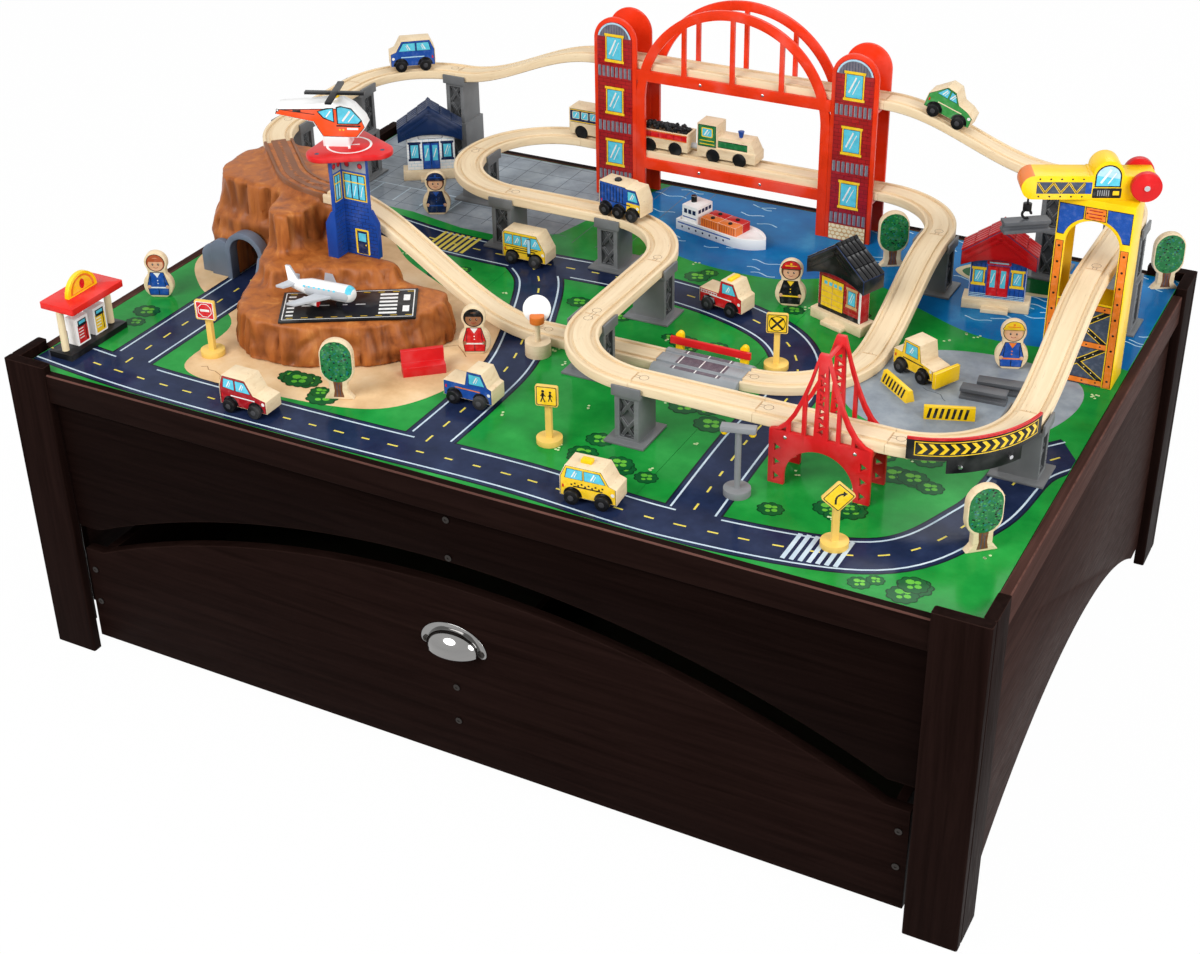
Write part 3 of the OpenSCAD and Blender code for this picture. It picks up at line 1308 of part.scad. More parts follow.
module dish() {
  cylinder(r = dish_foot_r, h = dish_foot_h);
  up(dish_foot_h) cylinder(r = dish_post_r, h = dish_post_h);
  translate([0, dish_t, dish_foot_h + dish_post_h + dish_r / 2]) rotate([dish_angle, 0, 0])
    cylinder(r = dish_r, h = dish_t, center = true);
  translate([0, -feed_r / 2, dish_foot_h + dish_post_h - feed_t / 2]) cylinder(r = feed_r, h = feed_t);
}
module barrier() translate([-barrier_l / 2, 0, 0]) along_x(barrier_l) polygon([[-barrier_foot / 2, 0],
  [barrier_foot / 2, 0], [barrier_top / 2, barrier_h], [-barrier_top / 2, barrier_h]]);
module spare_beam() {
  translate([-load_l / 2, 0, 0]) along_x(load_l) beam_section(load_w, load_h, load_flange, load_web);
  up(load_h + ring_r) rotate([90, 0, 0]) rotate_extrude($fn = 32)
    translate([ring_r - ring_t / 2, 0]) circle(d = ring_t, $fn = 16);
}
module street_pieces() color("#a9adb2") mid() {
  at(lamp_at, board_z, lamp_turn) street_lamp();
  at(bench_at, board_z, bench_turn) bench();
  at(dish_at, board_z, dish_turn) dish();
  for (i = [0, 1]) at(barrier_at[i], board_z, barrier_turn[i]) barrier();
  for (i = [0, 1]) at(beam_at[i], board_z, beam_turn[i]) spare_beam();
}

// Cargo boat: a hull, a wheelhouse, a funnel and containers
boat_at = [14, 292];
boat_turn = -14;
boat_l = 138;
boat_w = 46;
boat_h = 15;
bow_share = 0.3;
house_l = 26;
house_top_h = 24;
funnel_r = 4;
funnel_h = 9;
box_l = 30;
box_w = 16;
box_h = 13;
boat_wall = 3;
module boat_outline(inset) {
  l = boat_l - 2 * inset;
  w = boat_w - 2 * inset;
  bow_l = bow_share * boat_l;
  translate([-l / 2, -w / 2]) square([l - bow_l, w]);
  intersection() {
    intersection_for(k = [-1, 1])
      translate([l / 2 - bow_l, k * (arc_r(bow_l, w / 2) - w / 2)]) circle(r = arc_r(bow_l, w / 2), $fn = 96);
    translate([l / 2 - bow_l - cut, -w / 2]) square([bow_l + cut, w]);
  }
}
module cargo_boat() color("#f4f4f2") mid() at(boat_at, board_z, boat_turn) {
  difference() {
    linear_extrude(boat_h) boat_outline(0);
    up(boat_h - boat_wall) linear_extrude(boat_h) boat_outline(boat_wall);
  }
  translate([-boat_l / 2 + boat_wall * 2, -boat_w / 2 + boat_wall * 2, boat_h - boat_wall])
    cube([house_l, boat_w - 4 * boat_wall, house_top_h]);
  translate([-boat_l / 2 + house_l / 2, 0, boat_h - boat_wall + house_top_h])
    cylinder(r = funnel_r, h = funnel_h);
  for (i = [0, 1], s = [-1, 1]) translate([-boat_l / 2 + house_l + 4 * boat_wall + i * (box_l + move_gap),
    s * (box_w + move_gap) / 2 - box_w / 2, boat_h - boat_wall]) cube([box_l, box_w, box_h]);
}

// Road vehicles: side views in shares of length and height
car_shares = [[-0.5, 0], [0.5, 0], [0.5, 0.42], [0.24, 0.52], [0.08, 1], [-0.42, 1], [-0.5, 0.6]];
truck_shares = [[-0.5, 0], [0.5, 0], [0.5, 0.5], [0.42, 0.56], [0.3, 1], [0, 1], [-0.06, 0.5], [-0.5, 0.5]];
cab_shares = [[-0.5, 0], [0.5, 0], [0.5, 0.5], [0.38, 0.58], [0.24, 1], [-0.4, 1], [-0.5, 0.62]];
bus_shares = [[-0.5, 0], [0.5, 0], [0.5, 0.4], [0.3, 1], [-0.46, 1], [-0.5, 0.9]];
tank_shares = [[-0.5, 0], [0.5, 0], [0.5, 0.5], [0.4, 0.96], [0.16, 0.96], [0.14, 1], [-0.5, 1]];
dozer_shares = [[-0.5, 0], [0.5, 0], [0.5, 0.36], [0.2, 0.44], [0.14, 1], [-0.24, 1], [-0.3, 0.5],
  [-0.5, 0.5]];
round_shares = [[-0.5, 0], [0.5, 0], [0.5, 0.36], [0.36, 0.5], [0.16, 0.58], [0, 0.96], [-0.2, 1],
  [-0.4, 0.66], [-0.5, 0.5]];
vehicle_l = 66;
vehicle_h = 38;
vehicle_clear = 7;
axle_share = 0.27;
axle_shares = [-axle_share, axle_share];
outer_axle_share = 0.324;
jeep_angle = 128;
truck_angle = 81;
green_x = 287;
green_t = (front_x1 - green_x) / (front_x1 - bridge_x1);
green_slope = -atan((deck_level - high_level) * 90 * sin(180 * green_t) * PI / 180 / (front_x1 - bridge_x1));
green_z = high_z + track_t + (deck_level - high_level) * rise_share(green_t);
vehicle_at = [[-285, -386], [-62, -253], [164, -383], [-190, 106], [106, 92], [384, 36]];
// Each vehicle: place, height, turn, tilt, side view, axle shares
vehicles = [
  [vehicle_at[0], board_z, 0, 0, car_shares, axle_shares],
  [vehicle_at[1], board_z, 0, 0, truck_shares, axle_shares],
  [vehicle_at[2], board_z, 4, 0, cab_shares, axle_shares],
  [vehicle_at[3], board_z, 0, 0, bus_shares, axle_shares],
  [vehicle_at[4], board_z, -12, 0, truck_shares, axle_shares],
  [vehicle_at[5], board_z, -26, 0, dozer_shares, axle_shares],
  [[high_left_x, loop_y] + curve_r * [cos(jeep_angle), sin(jeep_angle)], high_z + track_t, jeep_angle + 90, 0,
    cab_shares, axle_shares],
  [[green_x, bridge_y], green_z, 0, -green_slope, round_shares, axle_shares],
  [[cross_curve_x, cross_top_y] + curve_r * [cos(truck_angle), sin(truck_angle)], low_z + track_t,
    truck_angle - 90, 0, tank_shares, [-outer_axle_share, 0, outer_axle_share]]];
module each_vehicle() for (v = vehicles) translate([v[0][0], v[0][1], v[1]]) rotate([0, v[3], v[2]]) {
  $vehicle = v;
  children();
}
toy_wheel_w = 6;
toy_axle_r = 2;
arm_w = 5;
blade_w = 40;
blade_h = 20;
blade_t = 5;
module vehicle_side(shares) polygon([for (s = shares) [s[0] * vehicle_l, vehicle_clear + s[1] * vehicle_h]]);
module vehicle_bodies() color("#e3c48d") mid() {
  each_vehicle() translate([0, -vehicle_w / 2, 0]) upright(vehicle_w) difference() {
    vehicle_side($vehicle[4]);
    for (share = $vehicle[5]) translate([share * vehicle_l, toy_wheel_r]) circle(r = toy_axle_r + shaft_play);
  }
  loader = vehicles[5];
  at(loader[0], loader[1], loader[2]) {
    translate([vehicle_l / 2 + blade_t, -blade_w / 2, vehicle_clear / 2]) cube([blade_t, blade_w, blade_h]);
    for (s = [-1, 1]) translate([vehicle_l / 2, s * vehicle_w / 4 - arm_w / 2, vehicle_clear + arm_w])
      cube([blade_t, arm_w, arm_w]);
  }
}
module vehicle_wheels() color("#1d1d20") mid() each_vehicle() for (share = $vehicle[5])
  translate([share * vehicle_l, 0, toy_wheel_r]) rotate([90, 0, 0]) {
    cylinder(r = toy_axle_r, h = vehicle_w + 2 * move_gap, center = true);
    for (s = [0, 1]) mirror([0, 0, s]) up(vehicle_w / 2 + move_gap)
      cylinder(r = toy_wheel_r, h = toy_wheel_w);
  }

// Train on the lower deck: engine, coal car and coach, with couplers
engine_x = -18;
coal_x = -116;
coach_x = -225;
car_l = 78;
engine_l_body = 88;
car_w = 30;
car_clear = 5;
chassis_h = 14;
coupler_r = 4;
wheelbase = 40;
coach_h = 24;
coal_h = 12;
coal_wall = 3;
hood_w = 26;
hood_h = 17;
nose_l = 9;
cab_l = 30;
cab_top_h = 34;
funnel_x_share = 0.18;
stack_r = 4.5;
stack_h = 10;
train_axle_r = 2;
rail_z = low_z + track_t - groove_d + move_gap;
train_z = low_z + track_t + car_clear;
module chassis(l) difference() {
  translate([-l / 2, -car_w / 2, 0]) cube([l, car_w, chassis_h]);
  for (s = [-1, 1]) {
    translate([s * wheelbase / 2, car_w / 2 + cut, rail_z + train_wheel_r - train_z]) rotate([90, 0, 0])
      cylinder(r = train_axle_r + shaft_play, h = car_w + 2 * cut);
    for (side = [-1, 1]) translate([s * wheelbase / 2, side * gauge / 2, rail_z + train_wheel_r - train_z])
      rotate([90, 0, 0])
        cylinder(r = train_wheel_r + 2 * move_gap, h = train_wheel_w + 4 * move_gap, center = true);
  }
}
module coupler(x0, x1, at_z) translate([x0, 0, at_z]) rotate([0, 90, 0]) cylinder(r = coupler_r, h = x1 - x0);
module train_bodies() color("#e3c48d") mid() translate([0, bridge_y, train_z]) {
  translate([engine_x, 0, 0]) {
    chassis(engine_l_body);
    translate([-engine_l_body / 2, -car_w / 2, chassis_h]) cube([cab_l, car_w, cab_top_h]);
    translate([-engine_l_body / 2 + cab_l, -hood_w / 2, chassis_h]) upright(hood_w) polygon([[0, 0],
      [engine_l_body - cab_l, 0], [engine_l_body - cab_l - nose_l, hood_h], [0, hood_h]]);
    translate([funnel_x_share * engine_l_body, 0, chassis_h + hood_h - cut])
      cylinder(r1 = stack_r / 2, r2 = stack_r, h = stack_h);
  }
  translate([coal_x, 0, 0]) {
    chassis(car_l);
    translate([-car_l / 2, -car_w / 2, chassis_h]) difference() {
      cube([car_l, car_w, coal_h]);
      translate([coal_wall, coal_wall, coal_wall])
        cube([car_l - 2 * coal_wall, car_w - 2 * coal_wall, coal_h]);
    }
  }
  translate([coach_x, 0, 0]) {
    chassis(car_l);
    translate([-car_l / 2, -car_w / 2, chassis_h]) cube([car_l, car_w, coach_h]);
  }
  coupler(coal_x + car_l / 2, engine_x - engine_l_body / 2, chassis_h / 2);
  coupler(coach_x + car_l / 2, coal_x - car_l / 2, chassis_h / 2);
}
module train_axle(x) color("#1d1d20") mid() translate([x, bridge_y, rail_z + train_wheel_r])
  rotate([90, 0, 0]) {
    cylinder(r = train_axle_r, h = gauge, center = true);
    for (s = [-1, 1]) up(s * gauge / 2)
      cylinder(r = train_wheel_r, h = train_wheel_w, center = true);
  }
module engine_front_axle() train_axle(engine_x + wheelbase / 2);
module engine_rear_axle() train_axle(engine_x - wheelbase / 2);
module coal_front_axle() train_axle(coal_x + wheelbase / 2);
module coal_rear_axle() train_axle(coal_x - wheelbase / 2);
module coach_front_axle() train_axle(coach_x + wheelbase / 2);
module coach_rear_axle() train_axle(coach_x - wheelbase / 2);

corner_posts();
front_apron();
back_apron();
end_panels();
rim_rails();
play_board();
board_bearers();
table_screws();
drawer_front();
drawer_box();
drawer_bottom();
drawer_pull();
drawer_screws();
wheel_brackets();
front_drawer_wheels();
rear_drawer_wheels();
ground_track();
ramp_track();
raised_track();
high_track();
short_piers();
tall_piers();
crossing_plate();
crossing_posts();
gate_arm();
mountain();
tunnel_portal();
runway_plate();
airplane();
control_tower();
helipad();
helicopter();
rotor();
bridge_towers();
bridge_arches();
tower_faces();
suspension_bridge();
curve_guard();
crane_tower();
crane_jib();
winch_drum();
crane_hook();
house_walls();
house_roofs();
house_bases();
fuel_stop();
toy_people();
toy_trees();
road_signs();
street_pieces();
cargo_boat();
vehicle_bodies();
vehicle_wheels();
train_bodies();
engine_front_axle();
engine_rear_axle();
coal_front_axle();
coal_rear_axle();
coach_front_axle();
coach_rear_axle();
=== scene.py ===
import math
import random

import bmesh
import bpy
from mathutils import Matrix, Vector, noise


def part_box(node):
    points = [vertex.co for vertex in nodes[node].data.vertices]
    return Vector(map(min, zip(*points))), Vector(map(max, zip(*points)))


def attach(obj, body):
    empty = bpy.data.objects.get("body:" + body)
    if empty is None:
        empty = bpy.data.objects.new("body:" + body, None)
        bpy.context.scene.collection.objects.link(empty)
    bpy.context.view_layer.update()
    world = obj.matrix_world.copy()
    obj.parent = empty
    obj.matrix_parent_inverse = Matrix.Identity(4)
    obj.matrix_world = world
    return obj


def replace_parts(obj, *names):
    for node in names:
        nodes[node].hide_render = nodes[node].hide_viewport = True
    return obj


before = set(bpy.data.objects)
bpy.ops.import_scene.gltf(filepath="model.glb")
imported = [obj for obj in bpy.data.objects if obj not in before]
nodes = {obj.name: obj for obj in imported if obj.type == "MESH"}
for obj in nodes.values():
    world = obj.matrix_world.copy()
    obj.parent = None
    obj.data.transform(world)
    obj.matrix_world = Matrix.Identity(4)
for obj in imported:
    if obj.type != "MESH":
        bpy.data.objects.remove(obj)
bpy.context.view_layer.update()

mm = 0.001
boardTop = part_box("play_board")[1].z
midY = (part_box("corner_posts")[0].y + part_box("corner_posts")[1].y) / 2
both = (-1, 1)
print("train table: frame loaded,", len(nodes), "nodes")


# Materials

paleTone, deepTone = (1, 1, 1), (0, 0, 0)


def mix(a, b, t):
    return tuple(a[i] + (b[i] - a[i]) * t for i in range(3))


def isSocket(value):
    return isinstance(value, bpy.types.NodeSocket)


# A socket is linked to the input, and any other value is set on it
def feed(made, values):
    for key, value in values.items():
        if isSocket(value):
            made.id_data.links.new(value, made.inputs[key])
        else:
            made.inputs[key].default_value = value


def addNode(tree, kind, values=None, **settings):
    made = tree.nodes.new("ShaderNode" + kind)
    for key, value in settings.items():
        setattr(made, key, value)
    feed(made, values or {})
    return made


def startMaterial(name):
    mat = bpy.data.materials.new(name)
    mat.use_nodes = True
    return mat, mat.node_tree


def stretched(tree, scale=(1, 1, 1), source="Object"):
    coords = addNode(tree, "TexCoord").outputs[source]
    return addNode(tree, "Mapping", {"Vector": coords, "Scale": scale}).outputs["Vector"]


def noiseAt(vector, scale, detail=3.0, rough=0.5, twist=0.0):
    values = {"Vector": vector, "Scale": scale, "Detail": detail, "Roughness": rough, "Distortion": twist}
    return addNode(vector.id_data, "TexNoise", values).outputs["Fac"]


def ramp(fac, stops):
    made = addNode(fac.id_data, "ValToRGB", {"Fac": fac})
    band = made.color_ramp
    while len(band.elements) < len(stops):
        band.elements.new(0.5)
    for element, (place, color) in zip(band.elements, stops):
        element.position = place
        element.color = (*color, 1)
    return made.outputs["Color"]


def spread(fac, low, high, ends=(0.3, 0.7)):
    values = {"Value": fac, "From Min": ends[0], "From Max": ends[1], "To Min": low, "To Max": high}
    return addNode(fac.id_data, "MapRange", values).outputs["Result"]


def blendColor(fac, a, b, how="MIX"):
    tree = next(v for v in (fac, a, b) if isSocket(v)).id_data
    a, b = (v if isSocket(v) else (*v, 1) for v in (a, b))
    return addNode(tree, "Mix", {0: fac, 6: a, 7: b}, data_type="RGBA", blend_type=how).outputs[2]


# Colour, roughness and gloss of the shader, with a fine bump
def surface(mat, color, rough, gloss, height, bump, more=None):
    values = {"Strength": bump[0], "Distance": bump[1], "Height": height}
    normal = addNode(mat.node_tree, "Bump", values).outputs["Normal"]
    looks = {"Base Color": color, "Roughness": rough, "Specular IOR Level": gloss, "Normal": normal,
             **(more or {})}
    feed(mat.node_tree.nodes["Principled BSDF"], looks)
    return mat


plasticLook = {"mottle": 0.10, "patch": 22, "grain": 900, "bump": (0.25, 0.00012), "gloss": 0.14,
               "coatRough": 0.2}


def plastic(name, color, rough=0.34, coat=0.06):
    look = plasticLook
    mat, tree = startMaterial(name)
    place = stretched(tree)
    soft = noiseAt(place, look["patch"], 4)
    pale = mix(color, paleTone, look["mottle"] * 0.5)
    deep = mix(color, deepTone, look["mottle"] * 1.4)
    tone = ramp(soft, [(0.3, deep), (0.5, color), (0.72, pale)])
    coats = {"Coat Weight": coat, "Coat Roughness": look["coatRough"]}
    shine = spread(soft, rough - 0.05, rough + 0.07)
    return surface(mat, tone, shine, look["gloss"], noiseAt(place, look["grain"], 2), look["bump"], coats)


printLook = {"rough": 0.28, "variety": 0.12, "patch": 160, "grain": 2600, "gloss": 0.25,
             "bump": (0.12, 0.00005)}


def printed(name, color):
    look = printLook
    mat, tree = startMaterial(name)
    place = stretched(tree)
    fine = noiseAt(place, look["grain"], 2)
    deep = mix(color, deepTone, look["variety"])
    pale = mix(color, paleTone, look["variety"] * 0.4)
    tone = ramp(noiseAt(place, look["patch"], 3), [(0.34, deep), (0.5, color), (0.7, pale)])
    shine = spread(fine, look["rough"] - 0.05, look["rough"] + 0.08)
    return surface(mat, tone, shine, look["gloss"], fine, look["bump"])


boardLook = {"rough": 0.14, "gloss": 0.07, "grain": 420, "bump": (0.05, 0.0001)}


def boardInk(name, stops, scale):
    look = boardLook
    mat, tree = startMaterial(name)
    place = stretched(tree, (1, 1, 0.2))
    fine = noiseAt(place, look["grain"], 3)
    tone = ramp(noiseAt(place, scale, 5, 0.6), stops)
    shine = spread(fine, look["rough"] - 0.03, look["rough"] + 0.06)
    return surface(mat, tone, shine, look["gloss"], fine, look["bump"])


# The edge colour lightens the wood along its edges: partly edge wear, partly a painted highlight
darkWoodLook = {
    "tones": ((0.0060, 0.0027, 0.0021), (0.0100, 0.0046, 0.0037), (0.0140, 0.0066, 0.0053)),
    "rough": 0.46, "gloss": 0.006, "edge": (0.075, 0.040, 0.032), "edgeWearAndHighlight": 0.40, "edgeSize": 0.0022,
    "bump": (0.20, 0.00008),
}


def darkWood(name, axis, lift=1.0):
    look = darkWoodLook
    mat, tree = startMaterial(name)
    along = {"x": (5, 110, 110), "y": (110, 5, 110), "z": (110, 110, 5)}[axis]
    broad = noiseAt(stretched(tree, along), 1.0, 6, 0.62, 0.6)
    pores = noiseAt(stretched(tree, tuple(v * 7 for v in along)), 1.0, 3)
    tones = [tuple(v * lift for v in tone) for tone in look["tones"]]
    color = ramp(broad, list(zip((0.28, 0.52, 0.76), tones)))
    # Edges are mixed towards the edge colour: partly edge wear, partly a painted highlight
    rounded = addNode(tree, "Bevel", {"Radius": look["edgeSize"]}, samples=4).outputs["Normal"]
    flat = addNode(tree, "NewGeometry").outputs["Normal"]
    turn = addNode(tree, "VectorMath", {0: rounded, 1: flat}, operation="DOT_PRODUCT").outputs["Value"]
    color = blendColor(spread(turn, 0.0, look["edgeWearAndHighlight"], (0.99, 0.80)), color, look["edge"])
    shine = spread(pores, look["rough"] - 0.08, look["rough"] + 0.10)
    return surface(mat, color, shine, look["gloss"], pores, look["bump"])


paleWoodLook = {
    "tones": ((0.69, 0.52, 0.32), (0.75, 0.59, 0.38), (0.79, 0.64, 0.43)), "rough": 0.46, "gloss": 0.25,
    "bump": (0.25, 0.00008),
}


def paleWood(name, along, source="Object", lift=1.0):
    look = paleWoodLook
    mat, tree = startMaterial(name)
    rings = noiseAt(stretched(tree, along, source), 1.0, 5, 0.55, 0.9)
    pores = noiseAt(stretched(tree, tuple(v * 6 for v in along), source), 1.0, 3)
    tones = [tuple(v * lift for v in tone) for tone in look["tones"]]
    color = ramp(rings, list(zip((0.30, 0.46, 0.66), tones)))
    flecks = ramp(pores, [(0.26, mix(tones[0], deepTone, 0.35)), (0.36, paleTone)])
    shine = spread(pores, look["rough"] - 0.06, look["rough"] + 0.12)
    color = blendColor(0.55, color, flecks, "MULTIPLY")
    return surface(mat, color, shine, look["gloss"], pores, look["bump"])


metalLook = {"shade": 0.12, "gloss": 0.5, "bump": (0.04, 0.00004)}


def metal(name, color, rough, brush=(30, 30, 600)):
    look = metalLook
    mat, tree = startMaterial(name)
    fine = noiseAt(stretched(tree, brush), 1.0, 4)
    tone = ramp(fine, [(0.3, mix(color, deepTone, look["shade"])), (0.7, color)])
    shine = spread(fine, max(0.04, rough - 0.05), rough + 0.05)
    return surface(mat, tone, shine, look["gloss"], fine, look["bump"], {"Metallic": 1.0})


red = plastic("red plastic", (0.62, 0.012, 0.014))
orange = plastic("bridge orange", (0.80, 0.040, 0.008), 0.30)
yellow = plastic("crane yellow", (0.94, 0.60, 0.006), 0.30)
pierGrey = plastic("pier grey", (0.150, 0.155, 0.160), 0.40, 0.05)
stoneGrey = plastic("stone grey", (0.145, 0.178, 0.238), 0.42, 0.05)
black = plastic("black plastic", (0.008, 0.008, 0.009), 0.34)
white = plastic("white plastic", (0.86, 0.86, 0.85), 0.28)
wingGrey = plastic("wing grey", (0.50, 0.52, 0.55), 0.32)
blue = plastic("royal blue", (0.010, 0.055, 0.30), 0.32)
cream = plastic("cream plastic", (0.80, 0.66, 0.42), 0.36)
signYellow = plastic("sign yellow", (0.80, 0.53, 0.12), 0.38)
loadGrey = plastic("load grey", (0.09, 0.095, 0.105), 0.42)
containerOrange = plastic("container orange", (0.80, 0.20, 0.03), 0.36)
steel = metal("screw steel", (0.045, 0.040, 0.037), 0.32)
chrome = metal("pull chrome", (0.30, 0.295, 0.29), 0.07, (20, 20, 160))
silver = metal("bolt silver", (0.70, 0.70, 0.72), 0.22)
woodX = darkWood("espresso wood, grain along x", "x")
woodY = darkWood("espresso wood, grain along y", "y")
woodZ = darkWood("espresso wood, grain upright", "z")
# The aprons take the espresso wood at 0.6 of its brightness: painted shade
shadedApronWood = darkWood("espresso aprons, painted shade", "x", 0.6)
# The end panels (2.6 times) and the end rails (5.5 times) take lighter copies of the espresso wood: painted
# light
litEndWood = darkWood("espresso end panels, painted light", "y", 2.6)
litRailWood = darkWood("espresso end rails, painted light", "y", 5.5)
# The rounded rim edges take the espresso wood at ten times its brightness: painted highlight
highlightedEdgeWood = darkWood("espresso rounded edges, painted highlight", "x", 10.0)
trackWood = paleWood("track beech", (9, 150, 1), "UV")
blockWood = paleWood("block beech", (40, 40, 170))
baseWood = paleWood("base beech", (30, 160, 160))
# The drawer bottom takes the beech at 3 per cent of its brightness: painted shade
shadedTrayWood = paleWood("drawer tray board, painted shade", (8, 90, 90), lift=0.03)


# Meshes

def pieceFrom(name, bm, finishes, body, angle=35, smooth=True):
    mesh = bpy.data.meshes.new(name)
    bm.to_mesh(mesh)
    bm.free()
    for finish in finishes:
        mesh.materials.append(finish)
    obj = bpy.data.objects.new(name, mesh)
    bpy.context.scene.collection.objects.link(obj)
    if smooth:
        mesh.shade_smooth()
        mesh.set_sharp_from_angle(angle=math.radians(angle))
    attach(obj, body)
    return obj


def roundEdges(bm, size, limit=30):
    turn = math.radians(limit)
    sharp = [e for e in bm.edges if len(e.link_faces) == 2 and e.calc_face_angle(0) > turn]
    bmesh.ops.bevel(bm, geom=sharp, offset=size * mm, segments=2, profile=0.5, affect="EDGES",
                    clamp_overlap=True)


def onBoard(co):
    return co.x / mm, (co.y - midY) / mm, (co.z - boardTop) / mm


def camel(node):
    first, *rest = node.split("_")
    return first + "".join(word.title() for word in rest)


# A copy of a node's shape with rounded edges, and a finish for each region
def dress(node, finishes, rule=None, size=0.6, body="table"):
    bm = bmesh.new()
    bm.from_mesh(nodes[node].data)
    bmesh.ops.remove_doubles(bm, verts=bm.verts, dist=2e-6)
    bmesh.ops.dissolve_limit(bm, angle_limit=math.radians(0.4), verts=bm.verts, edges=bm.edges)
    if rule:
        for face in bm.faces:
            face.material_index = rule(*onBoard(face.calc_center_median()), face.normal)
    if size > 0:
        roundEdges(bm, size)
    made = pieceFrom(camel(node), bm, finishes, body)
    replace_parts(made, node)
    return made


def keep(node, finish):
    mesh = nodes[node].data
    mesh.materials.clear()
    mesh.materials.append(finish)


def turned(degrees, axis):
    return Matrix.Rotation(math.radians(degrees), 4, axis)


def shifted(x, y, z):
    return Matrix.Translation((x * mm, y * mm, z * mm))


def spot(x, y, z=0.0, turn=0.0, tilt=0.0):
    move = Matrix.Translation((x * mm, y * mm + midY, boardTop + z * mm))
    return move @ turned(turn, "Z") @ turned(tilt, "Y")


def inSpot(place, x, y, z):
    return place.inverted() @ Vector((x * mm, y * mm + midY, boardTop + z * mm)) / mm


# Flat outlines for prints, in millimetres

def rect(cx, cz, w, h):
    x, z = w / 2, h / 2
    return [(cx - x, cz - z), (cx + x, cz - z), (cx + x, cz + z), (cx - x, cz + z)]


def arc(rx, rz, angles, cx=0, cz=0):
    return [(cx + rx * math.cos(math.radians(a)), cz + rz * math.sin(math.radians(a))) for a in angles]


def disc(cx, cz, r, rz=None, start=0, end=360, count=28):
    steps = count if end - start >= 360 else count + 1
    return arc(r, r if rz is None else rz, [start + (end - start) * i / count for i in range(steps)], cx, cz)


def dome(cx, cz, r, foot, count):
    return [(cx - r, foot), (cx + r, foot)] + disc(cx, cz, r, start=0, end=180, count=count)


def roundRect(cx, cz, w, h, r):
    out = []
    for sx, sz, start in ((1, -1, -90), (1, 1, 0), (-1, 1, 90), (-1, -1, 180)):
        out += disc(cx + sx * (w / 2 - r), cz + sz * (h / 2 - r), r, start=start, end=start + 90, count=5)
    return out


def bar(x0, z0, x1, z1, w):
    dx, dz = x1 - x0, z1 - z0
    size = math.hypot(dx, dz)
    nx, nz = -dz / size * w / 2, dx / size * w / 2
    return [(x0 - nx, z0 - nz), (x1 - nx, z1 - nz), (x1 + nx, z1 + nz), (x0 + nx, z0 + nz)]


def strokes(points, w):
    return [bar(*a, *b, w) for a, b in zip(points, points[1:])]


def ring(cx, cz, r0, r1, count=36):
    a, b = disc(cx, cz, r0, count=count), disc(cx, cz, r1, count=count)
    return [[a[i], b[i], b[(i + 1) % count], a[(i + 1) % count]] for i in range(count)]


def repeat(shape, count, dx, dz=0):
    return [[(a + dx * i, b + dz * i) for a, b in shape] for i in range(count)]


def middleOf(points):
    return sum(p[0] for p in points) / len(points), sum(p[1] for p in points) / len(points)


def inset(points, gap):
    cx, cz = middleOf(points)
    out = []
    for x, z in points:
        reach = math.hypot(x - cx, z - cz) or 1
        out.append((x + (cx - x) / reach * gap, z + (cz - z) / reach * gap))
    return out


prints = {}
inkStep = 0.06  # height of one layer of print
inkMaterials = {}
inkColors = {
    "red": (0.62, 0.010, 0.014), "crimson": (0.36, 0.006, 0.012), "orange": (0.80, 0.20, 0.02),
    "yellow": (0.90, 0.58, 0.02), "cream": (0.82, 0.70, 0.46), "white": (0.80, 0.80, 0.78),
    "grey": (0.30, 0.31, 0.33), "stone": (0.16, 0.15, 0.19), "slate": (0.055, 0.07, 0.11),
    "black": (0.008, 0.008, 0.009), "navy": (0.006, 0.018, 0.075), "blue": (0.012, 0.075, 0.36),
    "cyan": (0.10, 0.55, 0.72), "paleBlue": (0.42, 0.66, 0.80), "green": (0.012, 0.16, 0.045),
    "leaf": (0.05, 0.30, 0.07), "teal": (0.01, 0.17, 0.16), "skin": (0.70, 0.40, 0.24),
    "brownSkin": (0.30, 0.13, 0.06), "brown": (0.16, 0.06, 0.025), "tan": (0.62, 0.36, 0.15),
    "rust": (0.42, 0.09, 0.03), "dusk": (0.105, 0.088, 0.112),
}


def ink(name):
    if name not in inkMaterials:
        inkMaterials[name] = printed("print " + name, inkColors[name])
    return inkMaterials[name]


# Faces of a block: a point on the face, raised by the print's level
def faceOf(place, depth, turn):
    return lambda a, b, level: place @ Vector([v * mm for v in turn(a, b, depth + level * inkStep)])


def front(place, depth):
    return faceOf(place, depth, lambda a, b, d: (a, -d, b))


def back(place, depth):
    return faceOf(place, depth, lambda a, b, d: (-a, d, b))


def rightSide(place, depth):
    return faceOf(place, depth, lambda a, b, d: (d, a, b))


def leftSide(place, depth):
    return faceOf(place, depth, lambda a, b, d: (-d, -a, b))


def top(place, height):
    return faceOf(place, height, lambda a, b, d: (a, b, d))


# Each row of a print has its colour, its level and its shapes
def stamp(group, face, rows, body="table"):
    for color, level, *shapes in rows:
        kept = prints.setdefault((group, color, body), [])
        kept += [[face(a, b, level) for a, b in shape] for shape in shapes]


def onSides(group, place, depth, rows, body="table"):
    for color, level, *shapes in rows:
        mirrored = [[(-a, b) for a, b in reversed(shape)] for shape in shapes]
        stamp(group, front(place, depth), [(color, level, *shapes)], body)
        stamp(group, back(place, depth), [(color, level, *mirrored)], body)


def flatMesh(polys):
    bm = bmesh.new()
    for poly in polys:
        bm.faces.new([bm.verts.new(p) for p in poly])
    bm.normal_update()
    bmesh.ops.triangulate(bm, faces=[f for f in bm.faces if len(f.verts) > 4])
    return bm


def printPieces():
    for (group, color, body), polys in prints.items():
        pieceFrom(f"{group}.{color}", flatMesh(polys), [ink(color)], body, smooth=False)


# Table frame and drawer

